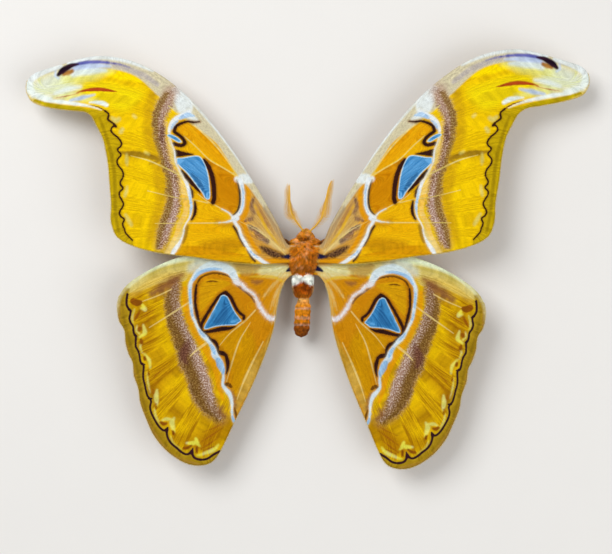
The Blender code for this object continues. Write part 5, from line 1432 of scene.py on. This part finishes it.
# %% Geometry Nodes for shoots
def sprouts_tree():
    """The node tree that puts a tapering shoot on every point."""
    tree = bpy.data.node_groups.new("sprouts", "GeometryNodeTree")
    tree.interface.new_socket("Points", in_out="INPUT", socket_type="NodeSocketGeometry")
    for title, kind in (("Thickness", "Float"), ("Tip share", "Float"), ("Bend", "Float"), ("Rings", "Int"),
                        ("Sides", "Int"), ("Finish", "Material")):
        tree.interface.new_socket(title, in_out="INPUT", socket_type=f"NodeSocket{kind}")
    tree.interface.new_socket("Shoots", in_out="OUTPUT", socket_type="NodeSocketGeometry")
    given = tree.nodes.new("NodeGroupInput").outputs
    named = {title: node(tree, "GeometryNodeInputNamedAttribute", {"Name": title}, data_type=kind)
             for title, kind in (("direction", "FLOAT_VECTOR"), ("upward", "FLOAT_VECTOR"),
                                 ("length", "FLOAT"))}
    values = {title: next(s for s in made.outputs if s.enabled) for title, made in named.items()}
    end = node(tree, "ShaderNodeCombineXYZ", {0: 1.0, 1: 0.0, 2: given["Bend"]}).outputs[0]
    spine = node(tree, "GeometryNodeCurveQuadraticBezier", {
        "Resolution": given["Rings"], "Start": (0, 0, 0), "Middle": (0.5, 0, 0), "End": end}).outputs["Curve"]
    circle = node(tree, "GeometryNodeCurvePrimitiveCircle", {
        "Resolution": given["Sides"], "Radius": given["Thickness"]}).outputs["Curve"]
    walked = tree.nodes.new("GeometryNodeSplineParameter").outputs["Factor"]
    taper = node(tree, "ShaderNodeMapRange", {"Value": walked, "To Min": 1.0, "To Max": given["Tip share"]})
    shoot = node(tree, "GeometryNodeCurveToMesh", {
        "Curve": spine, "Profile Curve": circle, "Scale": taper.outputs["Result"],
        "Fill Caps": True}).outputs["Mesh"]
    aim = node(tree, "FunctionNodeAlignRotationToVector", {"Vector": values["direction"]}, axis="X")
    turn = node(tree, "FunctionNodeAlignRotationToVector", {
        "Rotation": aim.outputs["Rotation"], "Vector": values["upward"]}, axis="Z", pivot_axis="X")
    placed = node(tree, "GeometryNodeInstanceOnPoints", {
        "Points": given["Points"], "Instance": shoot, "Rotation": turn.outputs["Rotation"],
        "Scale": values["length"]}).outputs["Instances"]
    solid = node(tree, "GeometryNodeRealizeInstances", {"Geometry": placed}).outputs["Geometry"]
    smooth = node(tree, "GeometryNodeSetShadeSmooth", {"Geometry": solid}).outputs["Geometry"]
    done = node(tree, "GeometryNodeSetMaterial", {"Geometry": smooth, "Material": given["Finish"]})
    tree.links.new(done.outputs["Geometry"], tree.nodes.new("NodeGroupOutput").inputs["Shoots"])
    return tree


SPROUTS = sprouts_tree()
CELL_MARGIN = 0.15


def sprout(name, points, directions, upwards, lengths, finish, thickness, tip=0.3, bend=0.1, rings=3,
           sides=3):
    """A mesh with a shoot on each point. Points and lengths are in millimetres, thickness is a share."""
    source = grid_mesh(f"{name}_points", points, [])
    add_attribute(source.data, "direction", directions, "FLOAT_VECTOR")
    add_attribute(source.data, "upward", upwards, "FLOAT_VECTOR")
    add_attribute(source.data, "length", np.asarray(lengths) * MM)
    modifier = source.modifiers.new("sprouts", "NODES")
    modifier.node_group = SPROUTS
    sockets = {item.name: item.identifier for item in SPROUTS.interface.items_tree if item.in_out == "INPUT"}
    for title, value in (("Thickness", thickness), ("Tip share", tip), ("Bend", bend), ("Rings", rings),
                         ("Sides", sides), ("Finish", finish)):
        modifier[sockets[title]] = value
    graph = bpy.context.evaluated_depsgraph_get()
    mesh = bpy.data.meshes.new_from_object(source.evaluated_get(graph), depsgraph=graph)
    bpy.data.objects.remove(source)
    mesh.name = name
    made = bpy.data.objects.new(name, mesh)
    bpy.context.scene.collection.objects.link(made)
    each = len(mesh.vertices) // len(points)
    along = (np.arange(each) // sides) / (each // sides - 1)
    add_attribute(mesh, "along", np.tile(along, len(points)))
    corner = corners_of(mesh)
    shoot, inner = corner // each, corner % each
    columns = math.ceil(math.sqrt(len(points)))
    local = np.column_stack([(inner % sides + 0.5) / sides, along[inner]])
    cell = np.column_stack([shoot % columns, shoot // columns])
    set_map(mesh, (cell + CELL_MARGIN + (1 - 2 * CELL_MARGIN) * local) / columns)
    add_attribute(mesh, "shade", np.repeat(np.random.default_rng(len(points)).random(len(points)), each))
    return made


print("inputs of the tree:", [item.name for item in SPROUTS.interface.items_tree if item.in_out == "INPUT"])

# %% [markdown]
# ## Eyes
# The compound eyes sit low on the sides of the head, half hidden in fur. Their surface is a net of
# tiny facets, which a bump pattern gives at this size.

# %% Compound eyes
EYE_RADIUS = 1.2
EYE_CENTRE = (1.95, 8.7, 8.4)
HEAD_SHIFT = 0.35
EYE_CLEARANCE = 0.98
EYE_COLOUR = "#2A1A12"
FACET_SCALE = 9000.0
FACET_DEPTH = 0.00003

eye_finish, eye_shader, eye_tree = new_material("compound_eye", 0.24, Coat_Weight=0.5, Coat_Roughness=0.15)
eye_shader.inputs["Base Color"].default_value = tint(EYE_COLOUR)
facets = node(eye_tree, "ShaderNodeTexVoronoi", {"Vector": node(
    eye_tree, "ShaderNodeTexCoord").outputs["Object"], "Scale": FACET_SCALE})
eye_bump = node(eye_tree, "ShaderNodeBump", {"Height": facets.outputs["Distance"], "Strength": 0.5,
                                             "Distance": FACET_DEPTH}, invert=True)
eye_tree.links.new(eye_bump.outputs["Normal"], eye_shader.inputs["Normal"])
for side, mirror in (("right", 1), ("left", -1)):
    bm = bmesh.new()
    bmesh.ops.create_icosphere(bm, subdivisions=5, radius=EYE_RADIUS * EYE_CLEARANCE)
    mesh = bpy.data.meshes.new(f"eye_{side}_dressed")
    bmesh.ops.translate(bm, verts=bm.verts, vec=(EYE_CENTRE[0] * mirror + HEAD_SHIFT, *EYE_CENTRE[1:]))
    bmesh.ops.scale(bm, verts=bm.verts, vec=(MM, MM, MM))
    bm.to_mesh(mesh)
    bm.free()
    mesh.shade_smooth()
    mesh.materials.append(eye_finish)
    eye = bpy.data.objects.new(mesh.name, mesh)
    bpy.context.scene.collection.objects.link(eye)
    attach(eye, "root")
    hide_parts(f"eye_{side}")
print("eye radius in mm:", EYE_RADIUS)

# %% [markdown]
# ## Feelers
# An atlas moth's feeler is a feather: a jointed shaft with two pairs of fine rays on every joint.
# The rays widen from the root, spread along the middle and shorten to the tip.

# %% Antennae
ANTENNA_SHAFTS = {
    "right": [(1.5, 9.3, 10.1), (2.2, 10.6, 10.8), (3.8, 12.1, 11.6), (5.3, 13.9, 12.3),
              (6.5, 15.8, 12.8), (7.4, 18.7, 13.2), (8.1, 22.6, 13.3), (8.9, 26.3, 13.1), (9.9, 29, 12.6)],
    "left": [(-0.3, 9.4, 10.1), (-0.9, 11, 10.8), (-2.3, 12.9, 11.6), (-3.7, 14.9, 12.3),
             (-4.9, 17, 12.8), (-5.4, 19.4, 13.2), (-5.6, 23.3, 13.3), (-5.7, 27.3, 12.8)],
}
SHAFT_RADII = (0.34, 0.2)
JOINT = 0.38
FIRST_RAY = 2.6
SPARSE_PART = 0.34
RAY_LENGTH = 3.3
RAY_LEAN, RAY_DROOP, COMB_ROLL = [math.radians(a) for a in (34.0, -22.0, 62.0)]
RAY_PAIRS = ((RAY_LEAN, 1.0, 0.0), (RAY_LEAN * 1.5, 0.93, 0.5))
RAY_FORM = {"thickness": 0.034, "tip": 0.4, "bend": 0.1, "rings": 6, "sides": 4}
SHAFT_SWELL = 0.08
ANTENNA_COLOURS = ("#CE981A", "#F0C048")
WALL_SHARE = 0.9
CAP_PLACES, CAP_LEVEL, CAP_RADIUS = (0.25, 0.75), 0.955, 0.04
TUBE_MARGIN = 0.01


def tube_mesh(name, path, radii, finish, sides=12):
    """A tube along a path with a radius at each of its points and round ends."""
    path, radii = np.asarray(path, float), np.asarray(radii, float)
    along = unit(np.gradient(path, axis=0))
    first = np.cross(along[0], (0.0, 0.0, 1.0))
    if np.linalg.norm(first) < 0.1:
        first = np.cross(along[0], (1.0, 0.0, 0.0))
    points, u = [], unit(first)
    turns = np.arange(sides) / sides * 2 * math.pi
    for p, a, r in zip(path, along, radii):
        u = unit(u - a * (u @ a))
        v = np.cross(a, u)
        points.append(p + r * (np.outer(np.cos(turns), u) + np.outer(np.sin(turns), v)))
    points = np.concatenate([*points, [path[0] - along[0] * radii[0] * 0.5],
                             [path[-1] + along[-1] * radii[-1] * 0.5]])
    points[:, 2] = np.maximum(points[:, 2], 0.0)
    rows = len(path)
    faces = [(r * sides + i, r * sides + j, (r + 1) * sides + j, (r + 1) * sides + i)
             for r in range(rows - 1) for i, j in zip(range(sides), [*range(1, sides), 0])]
    faces += [((i + 1) % sides, i, rows * sides) for i in range(sides)]
    last = (rows - 1) * sides
    faces += [(last + i, last + (i + 1) % sides, rows * sides + 1) for i in range(sides)]
    made = grid_mesh(name, points, faces, finish)
    corner = corners_of(made.data)
    walls = 4 * sides * (rows - 1)
    seam = np.tile([0, 1, 1, 0], walls // 4) * (corner[:walls] % sides == 0)
    wall, cap = corner[:walls], corner[walls:]
    wall = np.column_stack([wall % sides / sides + seam, wall // sides / rows * WALL_SHARE])
    out = np.where(cap >= rows * sides, 0.0, CAP_RADIUS)
    turn = 2 * math.pi * (cap % sides) / sides
    middle = np.repeat(CAP_PLACES, 3 * sides)
    lid = np.column_stack([middle + out * np.cos(turn), CAP_LEVEL + out * np.sin(turn)])
    set_map(made.data, np.concatenate([wall, lid]) * (1 - 2 * TUBE_MARGIN) + TUBE_MARGIN)
    return made


antenna_finish, antenna_shader, antenna_tree = new_material("antenna_ochre", 0.55, Specular_IOR_Level=0.3)
ochre = noise(antenna_tree, node(antenna_tree, "ShaderNodeTexCoord").outputs["Object"], 900.0, 2.0)
antenna_tree.links.new(mixed(antenna_tree, ochre, *[tint(code) for code in ANTENNA_COLOURS]),
                       antenna_shader.inputs["Base Color"])
for side, shaft in ANTENNA_SHAFTS.items():
    outward = 1 if side == "right" else -1
    path = smooth_line(shaft, JOINT / 4)
    walked = travelled(path)
    radii = np.interp(walked / walked[-1], (0, 1), SHAFT_RADII)
    radii *= 1 + SHAFT_SWELL * np.cos(2 * math.pi * walked / JOINT)
    made = tube_mesh(f"antenna_{side}_shaft", path, radii, antenna_finish, 10)
    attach(made, "root")
    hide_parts(f"antenna_{side}")
    stations = np.arange(FIRST_RAY, walked[-1] - 0.2, JOINT)
    stations = stations[(np.arange(len(stations)) % 2 == 0) | (stations > walked[-1] * SPARSE_PART)]
    at = at_stations(stations, walked, path)
    along = unit(at_stations(stations, walked, np.gradient(path, axis=0)))
    lateral = unit(np.cross(along, (0.0, 0.0, 1.0)) * outward)
    up = np.cross(lateral, along) * outward
    t = stations / walked[-1]
    roll = COMB_ROLL * ease((t - 0.25) / 0.4)
    size = RAY_LENGTH * (0.35 + 0.65 * ease(t / 0.35)) * (1 - 0.6 * ease((t - 0.75) / 0.3))
    roots, ways, lengths = [], [], []
    for angle in (RAY_DROOP + roll, math.pi - RAY_DROOP + roll):
        outwards = lateral * np.cos(angle)[:, None] + up * np.sin(angle)[:, None]
        for lean, part, shift in RAY_PAIRS:
            roots.append(at + along * (JOINT * shift))
            ways.append(along * math.sin(lean) + outwards * math.cos(lean))
            lengths.append(size * part)
    rays = sprout(f"antenna_{side}_rays", np.concatenate(roots), np.concatenate(ways),
                  np.tile(along, (4, 1)), np.concatenate(lengths), antenna_finish, **RAY_FORM)
    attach(rays, "root")
    print(side, "feeler rays:", sum(len(r) for r in roots))

# %% [markdown]
# ## Legs
# Six thin legs hold the model off the floor. The upper parts are furry, the feet are five short
# joints that end in a pair of claws. Radii follow the solids, drawn in by the depth of the hair.

# %% Legs and claws
LEGS = {
    "foreleg": [(1.9, 3.8, 8.6), (2.9, 4.0, 5.5), (9.9, 8.6, 8.2), (12.8, 13.2, 2.5), (14.2, 14.7, 0.9),
                (15.4, 15.9, 0.24), (17.8, 18.3, 0.22)],
    "midleg": [(2.6, 0.6, 8.4), (3.8, 0.8, 5.1), (12.6, 1.9, 8.4), (17.8, 2.5, 2.5), (19.4, 2.8, 0.9),
               (21.2, 3.05, 0.24), (24.6, 3.55, 0.22)],
    "hindleg": [(2.2, -2.9, 8.4), (3.2, -3.4, 5.3), (10.0, -8.2, 8.2), (14.2, -12.4, 2.5), (15.4, -13.6, 0.9),
                (16.7, -14.9, 0.24), (19.3, -17.3, 0.22)],
}
LEG_RADII = (0.8, 0.78, 0.55, 0.42, 0.34, 0.24, 0.2)
HAIR_PITCH = 0.022
HAIR_LENGTH = 1.0
HAIR_FROM, FURRY_SHARE, THIGH_SHARE = 0.6, 0.72, 0.45
HAIR_FORM = {"thickness": 0.07, "tip": 0.25, "bend": -0.25}
CLAW_LENGTH = 0.75
CLAW_FORM = {"thickness": 0.12, "tip": 0.2, "bend": -0.12, "rings": 6, "sides": 6}
LEG_STEP = 0.35
JOINT_PINCH = 0.16
SEGMENT_SWELL = (0.92, 0.16)
FOOT_RADIUS = 0.22
LEG_SHADE = 0.35
LEG_COLOURS = ("#7A4418", "#C08A44")

leg_finish, leg_shader, leg_tree = new_material("leg_fur", 0.7, Specular_IOR_Level=0.25, Sheen_Weight=0.2)
# Hairs vary at random from dark to light and grow lighter towards the tip: painted shade deep in the hair.
leg_shade = maths(leg_tree, "MULTIPLY_ADD", attribute(leg_tree, "shade"), 0.7, maths(
    leg_tree, "MULTIPLY", attribute(leg_tree, "along"), 0.3))
leg_tree.links.new(mixed(leg_tree, leg_shade, tint(LEG_COLOURS[0]), tint(LEG_COLOURS[1])),
                   leg_shader.inputs["Base Color"])
for name, joints in LEGS.items():
    for side, mirror in (("right", 1), ("left", -1)):
        corners = np.array(joints, float) * (mirror, 1, 1)
        path, radii = [corners[0]], [LEG_RADII[0]]
        for (a, b), (ra, rb) in zip(zip(corners[:-1], corners[1:]), zip(LEG_RADII[:-1], LEG_RADII[1:])):
            parts = max(4, round(np.linalg.norm(b - a) / LEG_STEP))
            for k in range(1, parts + 1):
                t = k / parts
                path.append(a + (b - a) * t)
                waist = 1 - JOINT_PINCH * math.cos(2 * math.pi * t) * (0.3 if t < 1 else 1)
                swell = SEGMENT_SWELL[0] + SEGMENT_SWELL[1] * math.sin(math.pi * t)
                radii.append((ra + (rb - ra) * t) * swell * waist)
        path = np.array(path)
        for _ in range(2):
            path[1:-1] = (path[:-2] + 2 * path[1:-1] + path[2:]) / 4
        path[:, 2] = np.maximum(path[:, 2], np.minimum(radii, FOOT_RADIUS) + 0.01)
        made = tube_mesh(f"{name}_{side}_dressed", path, radii, leg_finish, 14)
        one_shade(made.data, LEG_SHADE)
        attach(made, "root")
        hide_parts(f"{name}_{side}")
        walked = travelled(path)
        rng = np.random.default_rng(len(name) * 10 + mirror)
        furry = walked[-1] * FURRY_SHARE
        stations = np.arange(HAIR_FROM, furry, HAIR_PITCH)
        at = at_stations(stations, walked, path)
        ahead = unit(at_stations(stations, walked, unit(np.gradient(path, axis=0))))
        radial = rng.normal(size=ahead.shape)
        radial = unit(radial - ahead * (radial * ahead).sum(1)[:, None])
        thick = np.interp(stations, walked, radii)
        size = HAIR_LENGTH * (1 - 0.6 * stations / furry) * rng.uniform(0.6, 1.1, len(stations))
        size = np.minimum(size, np.maximum(at[:, 2] - 0.5, 0.15))
        size *= np.where(stations < walked[-1] * THIGH_SHARE, 0.6, 1.0)
        hair = sprout(f"{name}_{side}_hair", at + radial * (thick * 0.85)[:, None], ahead + radial * 0.55,
                      radial, size, leg_finish, **HAIR_FORM)
        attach(hair, "root")
        foot, way = path[-1], unit(path[-1] - path[-4])
        sideways = np.array([-way[1], way[0], 0.0])
        hooks = [way + sideways * spread for spread in (-0.55, 0.55)]
        claws = sprout(f"{name}_{side}_claws", [foot - way * 0.1 + (0, 0, 0.06)] * 2, hooks, [(0, 0, 1)] * 2,
                       [CLAW_LENGTH] * 2, leg_finish, **CLAW_FORM)
        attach(claws, "root")
print("legs:", 2 * len(LEGS))

# %% [markdown]
# ## The fringe
# A row of short hair-like scales edges every wing but its stiff front. They point straight out of
# the rim and lie flat.

# %% Wing fringes
FRINGE_PITCH = 0.1
FRINGE_LENGTH = 0.5
FRINGE_FORM = {"thickness": 0.13, "tip": 0.35, "bend": -0.05, "rings": 2}
ROOT_CLEARANCE = 12
FRINGE_COLOURS = {"forewing": ("#C0A02C", "#E8D060"), "hindwing": ("#B89C48", "#E6D490")}

for name in WING_SET:
    kind, side = name.split("_")
    plan = PLANS[kind]
    ring = closed(plan["inner"])
    walked = travelled(ring)
    stations = np.arange(0, walked[-1], FRINGE_PITCH)
    x, y = at_stations(stations, walked, ring).T
    ox, oy = at_stations(stations, walked, closed(plan["outward"])).T
    front = (oy > 0.05) & (ox < 0.9) if kind == "forewing" else (oy > 0.35)
    keep = ~front & (np.hypot(x, y) > ROOT_CLEARANCE)
    x, y, ox, oy = x[keep], y[keep], ox[keep], oy[keep]
    rng = np.random.default_rng(len(x))
    turn = rng.normal(0, 0.12, len(x))
    ox, oy = ox * np.cos(turn) - oy * np.sin(turn), ox * np.sin(turn) + oy * np.cos(turn)
    px, py = set_wing(name, x - 0.1 * ox, y - 0.1 * oy)
    qx, qy = set_wing(name, x + ox, y + oy)
    root = np.column_stack([px, py, wing_surface(px, py) + LIFT[kind]])
    tip = np.column_stack([qx, qy, wing_surface(qx, qy) + LIFT[kind]])
    fringe_finish, fringe_shader, fringe_tree = new_material(f"{name}_fringe", 0.7, Specular_IOR_Level=0.2)
    shades = [tint(code) for code in FRINGE_COLOURS[kind]]
    fringe_tree.links.new(mixed(fringe_tree, attribute(fringe_tree, "shade"), *shades),
                          fringe_shader.inputs["Base Color"])
    made = sprout(f"{name}_fringe", root, unit(tip - root), np.tile((0.0, 0.0, 1.0), (len(root), 1)),
                  FRINGE_LENGTH * rng.uniform(0.75, 1.05, len(root)), fringe_finish, **FRINGE_FORM)
    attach(made, "root")
    print(name, "fringe hairs:", len(root))

# %% [markdown]
# ## Palps
# Two short furry palps point forward under the face. They are thick with hair, so each is a small
# core with shoots all over it.

# %% Palps
PALP_ROOT = (0.7, 8.8, 7.5)
PALP_LENGTH = 2.0
PALP_CORE = 0.38
PALP_HAIR = 420
PALP_HAIR_LENGTH = 0.75
PALP_FORM = {"thickness": 0.09, "tip": 0.25, "bend": -0.2}

for side, mirror in (("right", 1), ("left", -1)):
    way = unit(np.array([0.12 * mirror, 1.0, -0.25]))
    start = np.array([PALP_ROOT[0] * mirror + HEAD_SHIFT, *PALP_ROOT[1:]])
    t = np.linspace(-0.3, 1, 16)
    path = start + np.outer(t * PALP_LENGTH, way)
    radii = PALP_CORE * np.sqrt(np.clip(1.08 - np.maximum(t, 0) ** 3, 0.1, 1))
    core = tube_mesh(f"palp_{side}_core", path, radii, leg_finish, 12)
    one_shade(core.data, SKIN_SHADE)
    rng = np.random.default_rng(70 + mirror)
    t = rng.uniform(-0.2, 1.0, PALP_HAIR)
    radial = rng.normal(size=(PALP_HAIR, 3))
    radial = unit(radial - np.outer(radial @ way, way))
    size = PALP_HAIR_LENGTH * rng.uniform(0.6, 1.1, PALP_HAIR)
    hair = sprout(f"palp_{side}_hair", start + np.outer(t * PALP_LENGTH, way) + radial * PALP_CORE * 0.8,
                  way + radial * 0.4, radial, size, leg_finish, **PALP_FORM)
    for made in (core, hair):
        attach(made, "root")
print("palp hairs:", 2 * PALP_HAIR)
